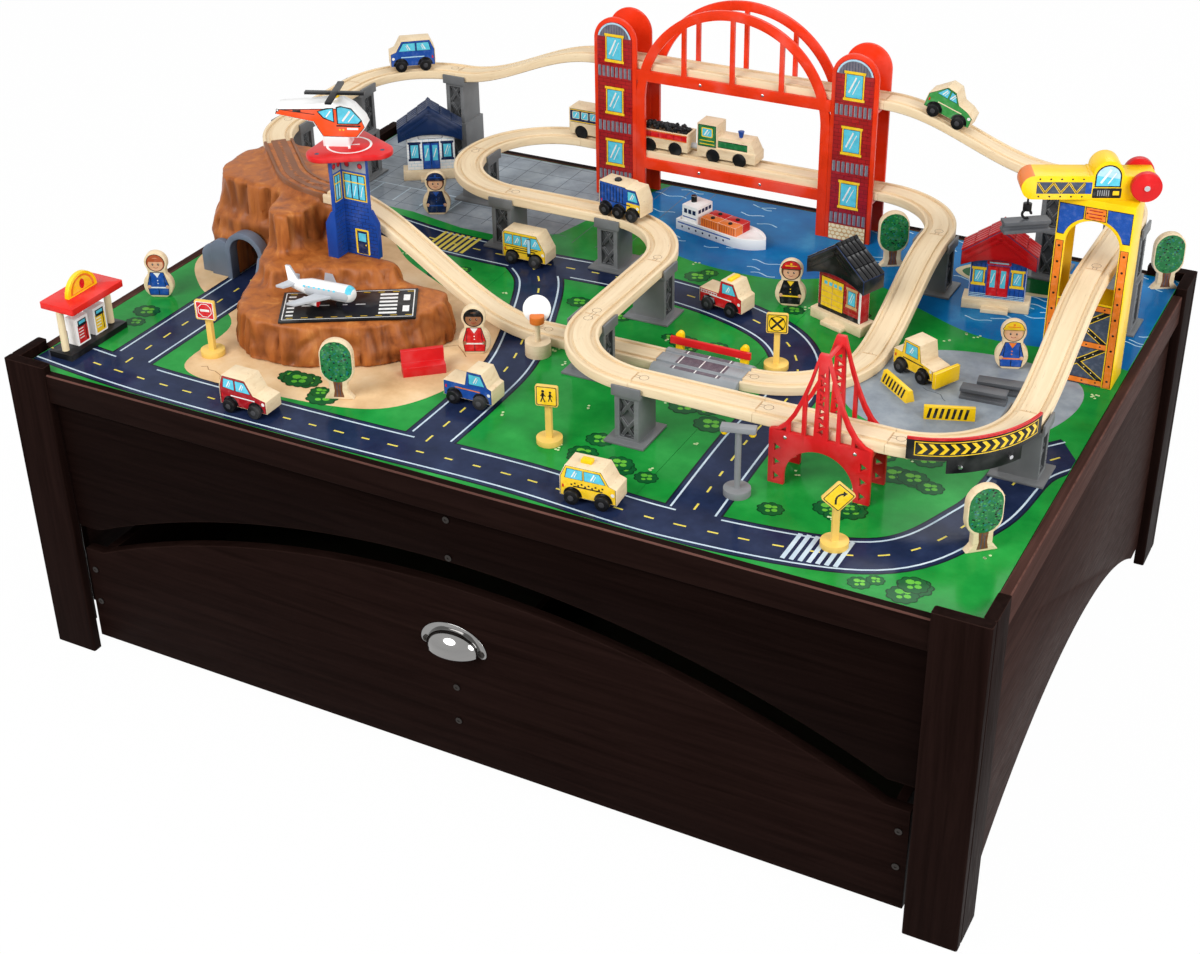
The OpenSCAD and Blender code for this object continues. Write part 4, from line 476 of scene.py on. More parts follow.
cup = {
    "width": 44, "height": 31, "cupWidth": 35, "cupHeight": 24, "out": 22.6, "lip": 3.0, "wall": 1.5,
    "ear": 6.2, "earX": 37.6, "plate": 1.6, "foot": 7, "edge": 0.5, "steps": 36, "rows": 14,
}


# One skin of the cup, as rows of points from the lip to the plate
def cupSkin(bm, place, wall):
    c = cup
    wide, out, high = c["cupWidth"] - wall, c["out"] - wall, c["cupHeight"] - wall
    grid = []
    for j in range(c["rows"] + 2):
        turn = math.pi / 2 * max(0, j - 1) / c["rows"]
        drop = c["lip"] if j == 0 else 0
        row = []
        for i in range(c["steps"] + 1):
            x, y = math.cos(math.pi * i / c["steps"]), math.sin(math.pi * i / c["steps"])
            point = Vector((wide * x, -out * y * math.cos(turn) - 0.2, high * y * math.sin(turn) - drop))
            row.append(bm.verts.new(place @ (point * mm)))
        grid.append(row)
    return grid


def cupPull():
    c = cup
    lo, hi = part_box("drawer_pull")
    place = Matrix.Translation((0, hi.y, lo.z + c["foot"] * mm))
    outline = arc(c["width"], c["height"], range(4, 177, 4))
    outline += disc(-c["earX"], 0, c["ear"], start=170, end=360, count=12)
    outline += arc(c["cupWidth"] - 1, c["cupHeight"] - 1, range(176, 3, -4))
    outline += disc(c["earX"], 0, c["ear"], start=180, end=370, count=12)
    bm = bmesh.new()
    face = bm.faces.new([bm.verts.new(place @ Vector((a * mm, 0, b * mm))) for a, b in outline])
    made = bmesh.ops.extrude_face_region(bm, geom=[face])["geom"]
    moved = [v for v in made if isinstance(v, bmesh.types.BMVert)]
    bmesh.ops.translate(bm, verts=moved, vec=(0, -c["plate"] * mm, 0))
    bmesh.ops.recalc_face_normals(bm, faces=bm.faces)
    roundEdges(bm, c["edge"])
    outer, inner = cupSkin(bm, place, 0), cupSkin(bm, place, c["wall"])
    for i in range(c["steps"]):
        for a, b in zip(outer, outer[1:]):
            bm.faces.new((a[i], b[i], b[i + 1], a[i + 1]))
        for a, b in zip(inner, inner[1:]):
            bm.faces.new((a[i], a[i + 1], b[i + 1], b[i]))
        bm.faces.new((outer[0][i], outer[0][i + 1], inner[0][i + 1], inner[0][i]))
    bmesh.ops.remove_doubles(bm, verts=bm.verts, dist=1e-5)
    bmesh.ops.recalc_face_normals(bm, faces=bm.faces)
    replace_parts(pieceFrom("cupPull", bm, [chrome], "drawer", angle=50), "drawer_pull")


# Rim faces: sloped faces of the rounded top edges get the painted-highlight wood, the end rails the
# painted-light wood, the rest the plain wood
def rimRule(x, y, z, n):
    return 2 if 0.2 < n.z < 0.93 else 1 if abs(x) > 600 else 0


def tableFrame():
    for node, finish in (("corner_posts", woodZ), ("front_apron", shadedApronWood), ("back_apron", shadedApronWood),
                         ("end_panels", litEndWood)):
        dress(node, [finish], size=0.9)
    dress("rim_rails", [woodX, litRailWood, highlightedEdgeWood], rimRule)
    dress("drawer_front", [woodX], size=0.9, body="drawer")
    dress("drawer_box", [woodX, woodY], lambda x, y, z, n: int(abs(n.x) > 0.7), 0.8, "drawer")
    cupPull()
    for node, finish in (("board_bearers", woodX), ("table_screws", steel), ("drawer_bottom", shadedTrayWood),
                         ("drawer_screws", steel), ("wheel_brackets", pierGrey),
                         ("front_drawer_wheels", black), ("rear_drawer_wheels", black)):
        keep(node, finish)
    print("table frame and drawer finished")


# Track: each piece is its section run along its line, with the grain along the line

track = {
    "half": 20.0, "thick": 12.0, "grooveIn": 10.0, "grooveOut": 16.0, "grooveDepth": 3.0, "edge": 1.1,
    "lip": 0.5, "gap": 0.2, "curve": 113.0, "low": 63.5, "high": 130.0, "deck": 192.0,
}


def trackSection():
    t = track
    h, k, e, c = t["half"], t["thick"], t["edge"], t["lip"]
    right = [(h - e, 0), (h, e), (h, k - e), (h - e * 0.35, k - e * 0.35), (h - e, k)]
    for x, s in ((t["grooveOut"], 1), (t["grooveIn"], -1)):
        rim = [(x + s * c, k), (x, k - c), (x, k - t["grooveDepth"])]
        right += rim if s > 0 else rim[::-1]
    return right + [(-x, z) for x, z in reversed(right)]


def straightLine(x, y, z, heading, length, count=2):
    c, s = math.cos(math.radians(heading)), math.sin(math.radians(heading))
    d = [track["gap"] + (length - 2 * track["gap"]) * i / (count - 1) for i in range(count)]
    return [(x + c * v, y + s * v, z, heading) for v in d]


def curveLine(cx, cy, z, start, sweep, r=None, count=31):
    r = r or track["curve"]
    way = 1 if sweep > 0 else -1
    slip = math.degrees(track["gap"] / r) * way
    turns = [start + slip + (sweep - 2 * slip) * i / (count - 1) for i in range(count)]
    return [(x, y, z, a + 90 * way) for (x, y), a in zip(arc(r, r, turns, cx, cy), turns)]


def rampLine(x, y, z, heading, length, rise, count=31):
    flat = straightLine(x, y, z, heading, length, count)
    lift = [rise * (1 - math.cos(math.pi * i / (count - 1))) / 2 for i in range(count)]
    return [(p[0], p[1], z + v, p[3]) for p, v in zip(flat, lift)]


def runAlong(bm, line, section, uv, shift=0.0):
    rows, runs, around = [], [0.0], [0.0]
    for x, y, z, heading in line:
        c, s = math.cos(math.radians(heading)), math.sin(math.radians(heading))
        rows.append([bm.verts.new(((x - s * a) * mm, (y + c * a) * mm + midY, boardTop + (z + b) * mm))
                     for a, b in section])
    for p, q in zip(line, line[1:]):
        runs.append(runs[-1] + math.dist(p[:3], q[:3]))
    for p, q in zip(section, section[1:] + section[:1]):
        around.append(around[-1] + math.dist(p, q))
    for i in range(len(rows) - 1):
        for j in range(len(section)):
            k = (j + 1) % len(section)
            face = bm.faces.new((rows[i][j], rows[i + 1][j], rows[i + 1][k], rows[i][k]))
            for loop, (u, v) in zip(face.loops, ((i, j), (i + 1, j), (i + 1, j + 1), (i, j + 1))):
                loop[uv].uv = (runs[u] * mm + shift, around[v] * mm + shift)
    for row, way in ((rows[0], 1), (rows[-1], -1)):
        face = bm.faces.new(row[::way])
        for loop, (a, b) in zip(face.loops, section[::way]):
            loop[uv].uv = (a * mm + shift, b * mm * 20)


def trackMesh(lines):
    bm = bmesh.new()
    uv = bm.loops.layers.uv.new("grain")
    for i, line in enumerate(lines):
        runAlong(bm, line, trackSection(), uv, 0.37 * i)
    bmesh.ops.recalc_face_normals(bm, faces=bm.faces)
    return bm


# The peg of the joint shows as a thin outline in the end of each piece
peg = {"radius": 5.6, "reach": 11.0, "neck": 4.4, "line": 0.55, "seam": 0.6}


def pegMark(end, way):
    x, y, z, heading = end
    face = top(spot(x, y, z, heading if way > 0 else heading + 180), track["thick"])
    r, w, neck = peg["radius"], peg["line"], peg["neck"] / 2
    if way > 0:
        necks = [bar(0, s * neck, peg["reach"] - r + peg["seam"], s * neck, w) for s in both]
        stamp("trackJoints", face, [("brown", 1, *ring(peg["reach"], 0, r - w, r, 24), *necks)])
    stamp("trackJoints", face,
          [("tan", 1, rect(0.5, 0, peg["seam"], 2 * (track["grooveIn"] - peg["seam"])))])


def trackPiece(node, lines):
    made = pieceFrom(camel(node), trackMesh(lines), [trackWood], "table")
    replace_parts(made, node)
    for line in lines:
        pegMark(line[0], 1)
        pegMark(line[-1], -1)


def trackLayout():
    low, high, deck = track["low"], track["high"], track["deck"]
    trackPiece("ground_track", [straightLine(-70, -78, 0, 0, 164), curveLine(207, 35, 0, -90, 90)])
    trackPiece("ramp_track", [
        rampLine(-70, -78, 0, 180, 300, high), rampLine(320, 35, 0, 90, 227, low),
        rampLine(556, -128, low, 90, 235, high - low), rampLine(443, 375, high, 180, 236, deck - high),
        rampLine(-451, 375, high, 0, 235, deck - high)])
    trackPiece("raised_track", [
        curveLine(207, 262, low, 0, 90), straightLine(-216, 375, low, 0, 423),
        straightLine(-244, 375, low, 0, 28),
        curveLine(-244, 262, low, 90, 90), curveLine(-244, 262, low, 180, 90),
        straightLine(-244, 149, low, 0, 161),
        curveLine(-83, 36, low, 0, 90), straightLine(30, -128, low, 90, 164),
        curveLine(143, -128, low, 180, 90),
        straightLine(143, -241, low, 0, 150), straightLine(293, -241, low, 0, 150),
        curveLine(443, -128, low, -90, 90)])
    trackPiece("high_track", [
        straightLine(556, 107, high, 90, 155), curveLine(443, 262, high, 0, 90),
        straightLine(-216, 375, deck, 0, 423),
        curveLine(-451, 262, high, 90, 90), straightLine(-564, 110, high, 90, 152),
        curveLine(-451, 110, high, 180, 45)])
    print("track laid")


# Piers: plain columns with rows of rivets beside recesses darkened with painted shade

pier = {
    "half": (22, 25), "recess": 9.1, "rivet": 0.95, "gap": 6.2, "first": 8, "rows": (12, 13.5), "step": 67.6,
    "short": [(143, -241, 0, 0), (-83, 149, 0, 0), (-244, 149, 0, 0), (-357, 262, 0, 90), (30, 36, 0, 90),
              (30, -128, 0, 90), (556, -128, 0, 90), (320, 262, 0, 90)],
    "tall": [(-451, 375, 0, 0), (-564, 262, 0, 90), (-564, 110, 0, 90), (443, 375, 0, 0), (556, 262, 0, 90)],
    "top": {"short": 52, "tall": 120}, "cutTop": 36, "cutX": 320,
}


def nearest(spots, x, y):
    return min(range(len(spots)), key=lambda i: math.hypot(spots[i][0] - x, spots[i][1] - y))


def piers():
    p = pier
    # The recesses take a much darker grey than the pier: painted shade
    recess = plastic("pier recess, painted shade", (0.055, 0.057, 0.060), 0.46, 0.02)
    rivets = []
    for kind in ("short", "tall"):
        places = [spot(*where) for where in p[kind]]

        def pierRule(x, y, z, n):
            q = inSpot(places[nearest(p[kind], x, y)], x, y, z)
            half = p["half"][kind == "tall" and z < p["step"]]
            return 1 if abs(q.x) < p["recess"] and half - 6.5 < abs(q.y) < half - 0.2 and z > 4 else 0

        dress(kind + "_piers", [pierGrey, recess], pierRule, 0.5)
        for where, place in zip(p[kind], places):
            reach = p["cutTop"] if where[0] == p["cutX"] else p["top"][kind]
            for k in range(int((reach - 4) / p["gap"])):
                z = p["first"] + p["gap"] * k
                low = kind == "tall" and z < p["step"]
                rivets += [facing(place, s * p["rows"][low], way * p["half"][low], z, side)
                           for s in both for way, side in ((-1, "front"), (1, "back"))]
    studs("pierRivets", pierGrey, "pier_grey", rivets, p["rivet"], 0.5, 8)
    print("piers finished")


# Play board: grass on the board itself, and the other inks as layers on it

board = {
    "roadWidth": 62, "edgeLine": 2.4, "edgeIn": 5.5, "dash": 15, "dashGap": 21, "dashWidth": 2.4,
    "outline": 2.2, "halfX": 602.5, "halfY": 419.0, "layer": 0.025, "roads": [
        [(-602, -372), (-430, -386), (-180, -386), (60, -380), (270, -388), (470, -352), (542, -238),
         (562, -120), (602, -60)],
        [(-493, -362), (-493, -240), (-493, -60)],
        [(-62, -360), (-62, -250), (-70, -150), (-110, -30), (-150, 60), (-196, 106)],
        [(-602, 128), (-480, 132), (-340, 110), (-196, 106), (-40, 112), (106, 92), (210, 40), (262, -60),
         (262, -200), (270, -366)],
    ],
    "water": [(-128, 419), (-150, 352), (-118, 280), (-58, 224), (30, 196), (128, 198), (196, 232),
              (262, 236), (330, 196), (420, 158), (520, 168), (602, 150), (602, 419)],
    "isle": [(330, 330), (390, 296), (470, 300), (520, 340), (470, 380), (390, 384)],
    "sand": [(-420, -340), (-300, -350), (-150, -320), (-96, -210), (-108, -100), (-200, -40), (-330, 30),
             (-420, 96), (-530, 92), (-600, 20), (-600, -80), (-545, -150), (-440, -220)],
    "plaza": [(-602, 180), (-420, 176), (-330, 158), (-250, 158), (-196, 200), (-172, 300), (-190, 419),
              (-602, 419)],
    "yard": [(330, -70), (420, -110), (520, -80), (570, 10), (560, 92), (470, 120), (372, 96), (316, 24)],
    "bushes": [(-250, -330, 5), (150, -300, 6), (390, -300, 9), (500, -390, 7), (120, -30, 6), (-20, 20, 5),
               (-250, 40, 6), (460, -180, 6), (180, -150, 6), (-560, -250, 4), (20, 160, 4), (230, 150, 6),
               (-420, 60, 3)],
    "lights": ((-0.34, 0.30, 0.30), (0.20, 0.42, 0.22), (0.38, -0.06, 0.24), (-0.12, -0.34, 0.20)),
}
# Scale of the mottling, then the tones from dark to light
boardTones = {
    "grass": (16, (0.005, 0.19, 0.026), (0.010, 0.26, 0.037), (0.024, 0.33, 0.056)),
    "water": (9, (0.002, 0.09, 0.30), (0.004, 0.16, 0.42), (0.03, 0.28, 0.55)),
    "ripple": (26, (0.30, 0.58, 0.74), (0.55, 0.76, 0.86)),
    "shore": (26, (0.50, 0.42, 0.24), (0.66, 0.56, 0.34)),
    "sand": (18, (0.60, 0.38, 0.19), (0.74, 0.51, 0.28), (0.80, 0.60, 0.37)),
    "sandCrack": (26, (0.34, 0.18, 0.08), (0.44, 0.25, 0.12)),
    "joint": (26, (0.09, 0.11, 0.14), (0.14, 0.16, 0.20)),
    "pavement": (30, (0.20, 0.23, 0.27), (0.27, 0.31, 0.35), (0.34, 0.38, 0.42)),
    "outline": (26, (0.004, 0.006, 0.012), (0.012, 0.016, 0.03)),
    "road": (34, (0.008, 0.015, 0.045), (0.013, 0.022, 0.062), (0.020, 0.032, 0.082)),
    "edgeLine": (26, (0.40, 0.52, 0.62), (0.60, 0.70, 0.77)),
    "dash": (26, (0.62, 0.50, 0.06), (0.78, 0.66, 0.13)),
    "bushLine": (26, (0.002, 0.035, 0.010), (0.004, 0.05, 0.014)),
    "bushDark": (26, (0.003, 0.075, 0.018), (0.008, 0.115, 0.028)),
    "bushLight": (26, (0.06, 0.36, 0.03), (0.16, 0.52, 0.05)),
    "flower": (26, (0.45, 0.66, 0.30), (0.66, 0.80, 0.46)),
}
toneStops = {"grass": (0.3, 0.5, 0.7), "water": (0.3, 0.55, 0.72), 3: (0.3, 0.52, 0.7), 2: (0.3, 0.7)}


def boardFinish(name):
    scale, *tones = boardTones[name]
    stops = toneStops.get(name) or toneStops[len(tones)]
    return boardInk("board " + name, list(zip(stops, tones)), scale)


def smoothLine(points, closed=False, count=12):
    pts = [Vector((*p, 0)) for p in points]
    size = len(pts)
    out = []
    for i in range(size if closed else size - 1):
        near = [i + k - 1 for k in range(4)]
        p = [pts[k % size if closed else max(0, min(size - 1, k))] for k in near]
        for j in range(count):
            t = j / count
            v = 0.5 * ((2 * p[1]) + (p[2] - p[0]) * t + (2 * p[0] - 5 * p[1] + 4 * p[2] - p[3]) * t * t
                       + (3 * p[1] - p[0] - 3 * p[2] + p[3]) * t ** 3)
            out.append((v.x, v.y))
    return out if closed else out + [(pts[-1].x, pts[-1].y)]


def offsetLine(line, gap):
    out = []
    for i, (x, y) in enumerate(line):
        a, b = line[max(0, i - 1)], line[min(len(line) - 1, i + 1)]
        size = math.hypot(b[0] - a[0], b[1] - a[1]) or 1
        out.append((x - (b[1] - a[1]) / size * gap, y + (b[0] - a[0]) / size * gap))
    return out


def ribbon(line, low, high):
    a, b = offsetLine(line, low), offsetLine(line, high)
    return [[a[i], a[i + 1], b[i + 1], b[i]] for i in range(len(line) - 1)]


def dashes(line, length, gap, width, steps=6):
    out, piece = [], []
    run = 0.0
    for a, b in zip(line, line[1:]):
        for k in range(steps):
            if run % (length + gap) < length:
                piece.append((a[0] + (b[0] - a[0]) * k / steps, a[1] + (b[1] - a[1]) * k / steps))
            else:
                out += ribbon(piece, -width / 2, width / 2) if len(piece) > 1 else []
                piece = []
            run += math.dist(a, b) / steps
    return out


boardInks = {}
roadLines = [smoothLine(points) for points in board["roads"]]


def boardStamp(name, level, *shapes):
    hx, hy = board["halfX"], board["halfY"]
    kept = boardInks.setdefault(name, [])
    for shape in shapes:
        kept.append([(max(-hx, min(hx, a)), max(-hy, min(hy, b)), level) for a, b in shape])


def bushShape(rng, cx, cy, r):
    pts = []
    for i in range(36):
        a = 2 * math.pi * i / 36
        x = math.cos(a) * r * (1 + 0.16 * abs(math.sin(a * 4.5 + rng.random() * 0.1)))
        pts.append((cx + x, cy + math.sin(a) * r * 0.86 * (1 + 0.16 * abs(math.sin(a * 4.5)))))
    return pts


def clearOfRoads(x, y, gap):
    return all(math.hypot(px - x, py - y) >= gap for line in roadLines for px, py in line)


def inside(x, y, points):
    hit = False
    for i in range(len(points)):
        (x0, y0), (x1, y1) = points[i], points[i - 1]
        if (y0 > y) != (y1 > y) and x < (x1 - x0) * (y - y0) / (y1 - y0) + x0:
            hit = not hit
    return hit


def roadPrint(half):
    b = board
    for i, line in enumerate(roadLines):  # a level for each road, so that no two layers share a plane
        boardStamp("outline", 3.4 + 0.4 * i, *ribbon(line, -half - b["outline"], half + b["outline"]))
        boardStamp("road", 5 + 0.5 * i, *ribbon(line, -half, half))
    for i, line in enumerate(roadLines):
        others = [other for other in roadLines if other is not line]
        for s in both:
            e = s * (half - b["edgeIn"])
            for q in ribbon(line, e - b["edgeLine"] / 2, e + b["edgeLine"] / 2):
                if all(min(math.dist(q[0], p) for p in other) > half + 1 for other in others):
                    boardStamp("edgeLine", 7.2 + 0.2 * i, q)
        boardStamp("dash", 7.2 + 0.2 * i, *dashes(line, b["dash"], b["dashGap"], b["dashWidth"]))
    boardStamp("dash", 8.4, *repeat(rect(-340, 112, 5, 52), 7, 9))  # striped crossings
    boardStamp("edgeLine", 8.4, *repeat(rect(388, -372, 5, 50), 7, 9, 1.5))
    bays = repeat(rect(-560, 222, 2, 50), 5, 46)
    boardStamp("edgeLine", 6, *bays, rect(-468, 247, 186, 2))


def plantPrint(rng, half, water, sand, yard):
    for cx, cy, count in board["bushes"]:
        for k in range(count):
            x, y = cx + rng.uniform(-52, 52), cy + rng.uniform(-34, 34)
            r = rng.uniform(8, 17)
            if not clearOfRoads(x, y, half + r + 4) or inside(x, y, water):
                continue
            level = 9 + k * 0.5
            boardStamp("bushLine", level, bushShape(rng, x, y, r * 1.1))
            boardStamp("bushDark", level + 0.1, bushShape(rng, x, y, r))
            for dx, dy, share in board["lights"]:
                boardStamp("bushLight", level + 0.25, bushShape(rng, x + dx * r, y + dy * r, share * r))
    for k in range(150):  # small flowers in the grass
        x, y = rng.uniform(-590, 590), rng.uniform(-410, 200)
        if clearOfRoads(x, y, half + 8) and not any(inside(x, y, area) for area in (sand, yard, water)):
            for i in range(3):
                boardStamp("flower", 15, disc(x + rng.uniform(-5, 5), y + rng.uniform(-5, 5), 1.7, count=8))
    for k in range(22):  # cracks in the sand and the yard
        x, y = rng.uniform(-560, 560), rng.uniform(-330, 120)
        home = "sandCrack" if inside(x, y, sand) else "joint" if inside(x, y, yard) else None
        if home:
            path = [(x, y)]
            for i in range(5):
                path.append((path[-1][0] + rng.uniform(4, 12), path[-1][1] + rng.uniform(-9, 9)))
            boardStamp(home, 3.1, *ribbon(path, -0.6, 0.6))


# Points of a board shape in the frame, without doubles
def boardPoints(shape):
    pts = []
    for a, b, level in shape:
        p = (a * mm, b * mm + midY, boardTop + level * board["layer"] * mm)
        if not pts or math.dist(pts[-1], p) > 1e-6:
            pts.append(p)
    if len(pts) > 2 and math.dist(pts[0], pts[-1]) < 1e-6:
        pts.pop()
    return pts


def playBoard():
    rng = random.Random(11)
    b = board
    half = b["roadWidth"] / 2
    water = smoothLine(b["water"][:-2]) + b["water"][-2:]
    sand, yard, isle = (smoothLine(b[key], True) for key in ("sand", "yard", "isle"))
    for name, level, shape in (("shore", 1, offsetLine(water, 7)), ("water", 2, water), ("shore", 3, isle),
                               ("bushDark", 4, inset(isle, 9)), ("sand", 1.5, sand),
                               ("pavement", 2.4, b["plaza"]), ("pavement", 2.8, yard)):
        boardStamp(name, level, shape)
    for k in range(60):  # ripples on the water
        x, y = rng.uniform(-140, 600), rng.uniform(200, 415)
        if inside(x, y, water) and not inside(x, y, isle):
            wave = [(x + i * 5, y + 3.2 * math.sin(i * 0.9 + k)) for i in range(rng.randint(5, 11))]
            boardStamp("ripple", 3, *ribbon(wave, -0.9, 0.9))
    boardStamp("joint", 3, *repeat(rect(-598, 300, 1.1, 238), 16, 36))  # slabs of the plaza
    boardStamp("joint", 3, *repeat(rect(-392, 196, 418, 1.1), 7, 0, 36))
    roadPrint(half)
    plantPrint(rng, half, water, sand, yard)
    keep("play_board", boardFinish("grass"))
    for name, shapes in boardInks.items():
        bm = flatMesh([pts for pts in map(boardPoints, shapes) if len(pts) > 2])
        bm.normal_update()
        for face in bm.faces:
            if face.normal.z < 0:
                face.normal_flip()
        pieceFrom("board." + name, bm, [boardFinish(name)], "table", smooth=False)
    print("play board printed:", len(boardInks), "inks")


# Mountain: the stepped solid melted into rock columns, with the moulded bed on top

rock = {
    "voxel": 4.2, "column": 23.0, "depth": 8.0, "fold": 2.6, "melt": 8, "foot": 0.4, "gloss": 0.25,
    "bump": (0.5, 0.0007),
    "tones": [(0.30, (0.15, 0.036, 0.006)), (0.45, (0.33, 0.095, 0.019)), (0.58, (0.43, 0.136, 0.027)),
              (0.74, (0.62, 0.26, 0.072))],
    "broad": (0.39, 0.112, 0.022), "crease": (0.12, 0.034, 0.010), "bed": (0.20, 0.07, 0.024),
}


def bedLine():
    lead = straightLine(-530.9, 30.1, track["high"], -45, 100.4, 2)
    bend = curveLine(-370, 49.5, track["high"], 225, 45, 127.5, 19)
    return lead[:1] + bend


def rockFinish():
    mat, tree = startMaterial("mountain rock")
    streak = noiseAt(stretched(tree, (1, 1, 0.16)), 60, 6, 0.62, 0.6)
    broad = noiseAt(stretched(tree, (1, 1, 0.4)), 16, 3)
    crease = addNode(tree, "VertexColor", layer_name="crease").outputs["Color"]
    color = blendColor(spread(broad, 0.0, 0.4), ramp(streak, rock["tones"]), rock["broad"])
    # Painted shade: the creases take a dark brown, following the vertex colour set in mountain()
    color = blendColor(crease, rock["crease"], color)
    return surface(mat, color, spread(streak, 0.38, 0.56), rock["gloss"], streak, rock["bump"])


def meltedMountain():
    obj = bpy.data.objects.new("mountainRock", nodes["mountain"].data.copy())
    bpy.context.scene.collection.objects.link(obj)
    melt = obj.modifiers.new("remesh", "REMESH")
    melt.mode = "VOXEL"
    melt.voxel_size = rock["voxel"] * mm
    graph = bpy.context.evaluated_depsgraph_get()
    bm = bmesh.new()
    bm.from_mesh(bpy.data.meshes.new_from_object(obj.evaluated_get(graph)))
    bpy.data.objects.remove(obj)
    return bm


# The bed of the track and the mouth of the tunnel keep their shape
def heldRock(x, y, z, path):
    far = min(math.hypot(x - px, y - py) for px, py in path)
    bed = (far < 27 and z > 112) or (z > 110 and x > -392 and abs(y + 78) < 26)
    return 0.0 if bed or (abs(x + 493) < 40 and y < -76 and z < 78) else 1.0


def mountain():
    bm = meltedMountain()
    line = bedLine()
    path = smoothLine([q[:2] for q in line], count=4)
    floor = boardTop + rock["foot"] * mm
    shade = bm.verts.layers.float_color.new("crease")
    held = {v: heldRock(*onBoard(v.co), path) for v in bm.verts}
    for k in range(rock["melt"]):
        moved = {}
        for v in bm.verts:
            if held[v] > 0 and v.co.z > floor + 2 * mm:
                near = sum((e.other_vert(v).co for e in v.link_edges), Vector()) / len(v.link_edges)
                moved[v] = v.co.lerp(near, 0.6)
        for v, co in moved.items():
            v.co = co
    bm.normal_update()
    size = rock["column"]
    for v in bm.verts:
        x, y, z = onBoard(v.co)
        warp = noise.noise((x / 60, y / 60, z / 50)) * 0.35
        near, far = noise.voronoi((x / size + warp, y / size - warp, z / size * 0.11))[0][:2]
        side = 1 - min(1, abs(v.normal.z) * 1.15)
        crease = min(1.0, (far - near) / 0.34)
        fold = noise.noise((x / 14, y / 14, z / 40))
        push = (-rock["depth"] * (1 - crease) + rock["fold"] * fold + 1.2) * (0.06 + 0.94 * side) * held[v]
        if v.co.z > floor + 1 * mm:
            v.co += Vector((v.normal.x, v.normal.y, v.normal.z * 0.35)) * push * mm
        # Painted shade: creases on the steep faces are darkened, by up to 72 per cent, in a vertex colour
        tone = 1 - 0.72 * (1 - crease) * side
        v[shade] = (tone, tone, tone, 1)
        v.co.z = max(v.co.z, floor)
    made = pieceFrom("mountainRock", bm, [rockFinish()], "table", angle=60)
    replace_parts(made, "mountain")
    bedBrown = plastic("rock bed", rock["bed"], 0.42, 0.05)
    bed = pieceFrom("mountainBed", trackMesh([line]), [bedBrown], "table")
    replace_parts(bed, "mountain")
    print("mountain carved")


# Small turned heads, ribs and prints that several toys share

def facing(place, x, y, z, way):
    angle, axis = {"front": (90, "X"), "back": (-90, "X"), "top": (0, "Z")}[way]
    return place @ shifted(x, y, z) @ turned(angle, axis)


def studs(name, finish, slot, places, r, h, sides=14):
    bm = bmesh.new()
    turn = [2 * math.pi * i / sides for i in range(sides)]
    for place in places:
        rings = [[bm.verts.new(place @ (Vector((r * s * math.cos(a), r * s * math.sin(a), h * up)) * mm))
                  for a in turn]
                 for s, up in ((1, 0), (1, 0.45), (0.82, 0.82), (0.45, 1))]
        for low, high in zip(rings, rings[1:]):
            for i in range(sides):
                bm.faces.new((low[i], low[(i + 1) % sides], high[(i + 1) % sides], high[i]))
        bm.faces.new(rings[-1])
    pieceFrom(name, bm, [finish], "table")


def addBox(bm, place, size, middle=(0, 0, 0)):
    scale = Matrix.Diagonal((size[0] * mm, size[1] * mm, size[2] * mm, 1))
    bmesh.ops.create_cube(bm, size=1, matrix=place @ shifted(*middle) @ scale)


def brickLines(x0, x1, z0, z1, course, brick, line):
    out = []
    rows = int((z1 - z0) / course)
    for k in range(rows + 1):
        z = z0 + k * course
        out.append(rect((x0 + x1) / 2, z, x1 - x0, line))
        x = x0 + (brick / 2 if k % 2 else brick)
        while x < x1 and k < rows:
            out.append(rect(x, z + course / 2, line, course))
            x += brick
    return out


def crossBars(x0, z0, x1, z1, count, w):
    step = (x1 - x0) / count
    return strokes([(x0 + i * step, z0 if i % 2 else z1) for i in range(count + 1)], w)


def glazed(group, face, cx, cz, w, h, level, frameColor="yellow"):
    stamp(group, face, [
        (frameColor, level, roundRect(cx, cz, w + 5, h + 5, 1.2)),
        ("navy", level + 1, rect(cx, cz, w + 1.4, h + 1.4)), ("cyan", level + 2, rect(cx, cz, w, h)),
        ("white", level + 3, bar(cx - w * 0.34, cz - h * 0.30, cx + w * 0.10, cz + h * 0.40, w * 0.10),
         bar(cx - w * 0.10, cz - h * 0.36, cx + w * 0.32, cz + h * 0.30, w * 0.05)),
        (frameColor, level + 4, *[rect(cx, cz + s * (h / 2 + 3), w + 8, 3.4) for s in both])])


# Level crossing

crossing = {"spot": (150.5, -78), "thick": 12, "bands": ((-20.2, 7.0), (0, 19.0), (20.2, 7.0))}


def levelCrossing():
    plate = plastic("crossing grey", (0.30, 0.32, 0.34), 0.42, 0.05)
    dress("crossing_plate", [plate], size=0.5)
    dress("crossing_posts", [yellow], size=0.5)
    dress("gate_arm", [red], size=0.5, body="gate")
    for y, w in crossing["bands"]:
        stamp("crossing", top(spot(*crossing["spot"]), crossing["thick"]), [
            ("dusk", 1, rect(0, y, 64, w)), ("white", 2, *repeat(rect(-28, y, 1.6, w), 3, 28)),
            ("grey", 1, *repeat(rect(-50, y, 0.7, w), 3, 6), *repeat(rect(38, y, 0.7, w), 3, 6))])
    print("level crossing finished")


# Airfield on the mountain: portal, runway, plane, control tower, helipad and helicopter

runway = {"spot": (-269, -200, 52, 30), "thick": 3, "length": 166, "width": 80, "margin": 4, "border": 1.2,
          "keys": 6}


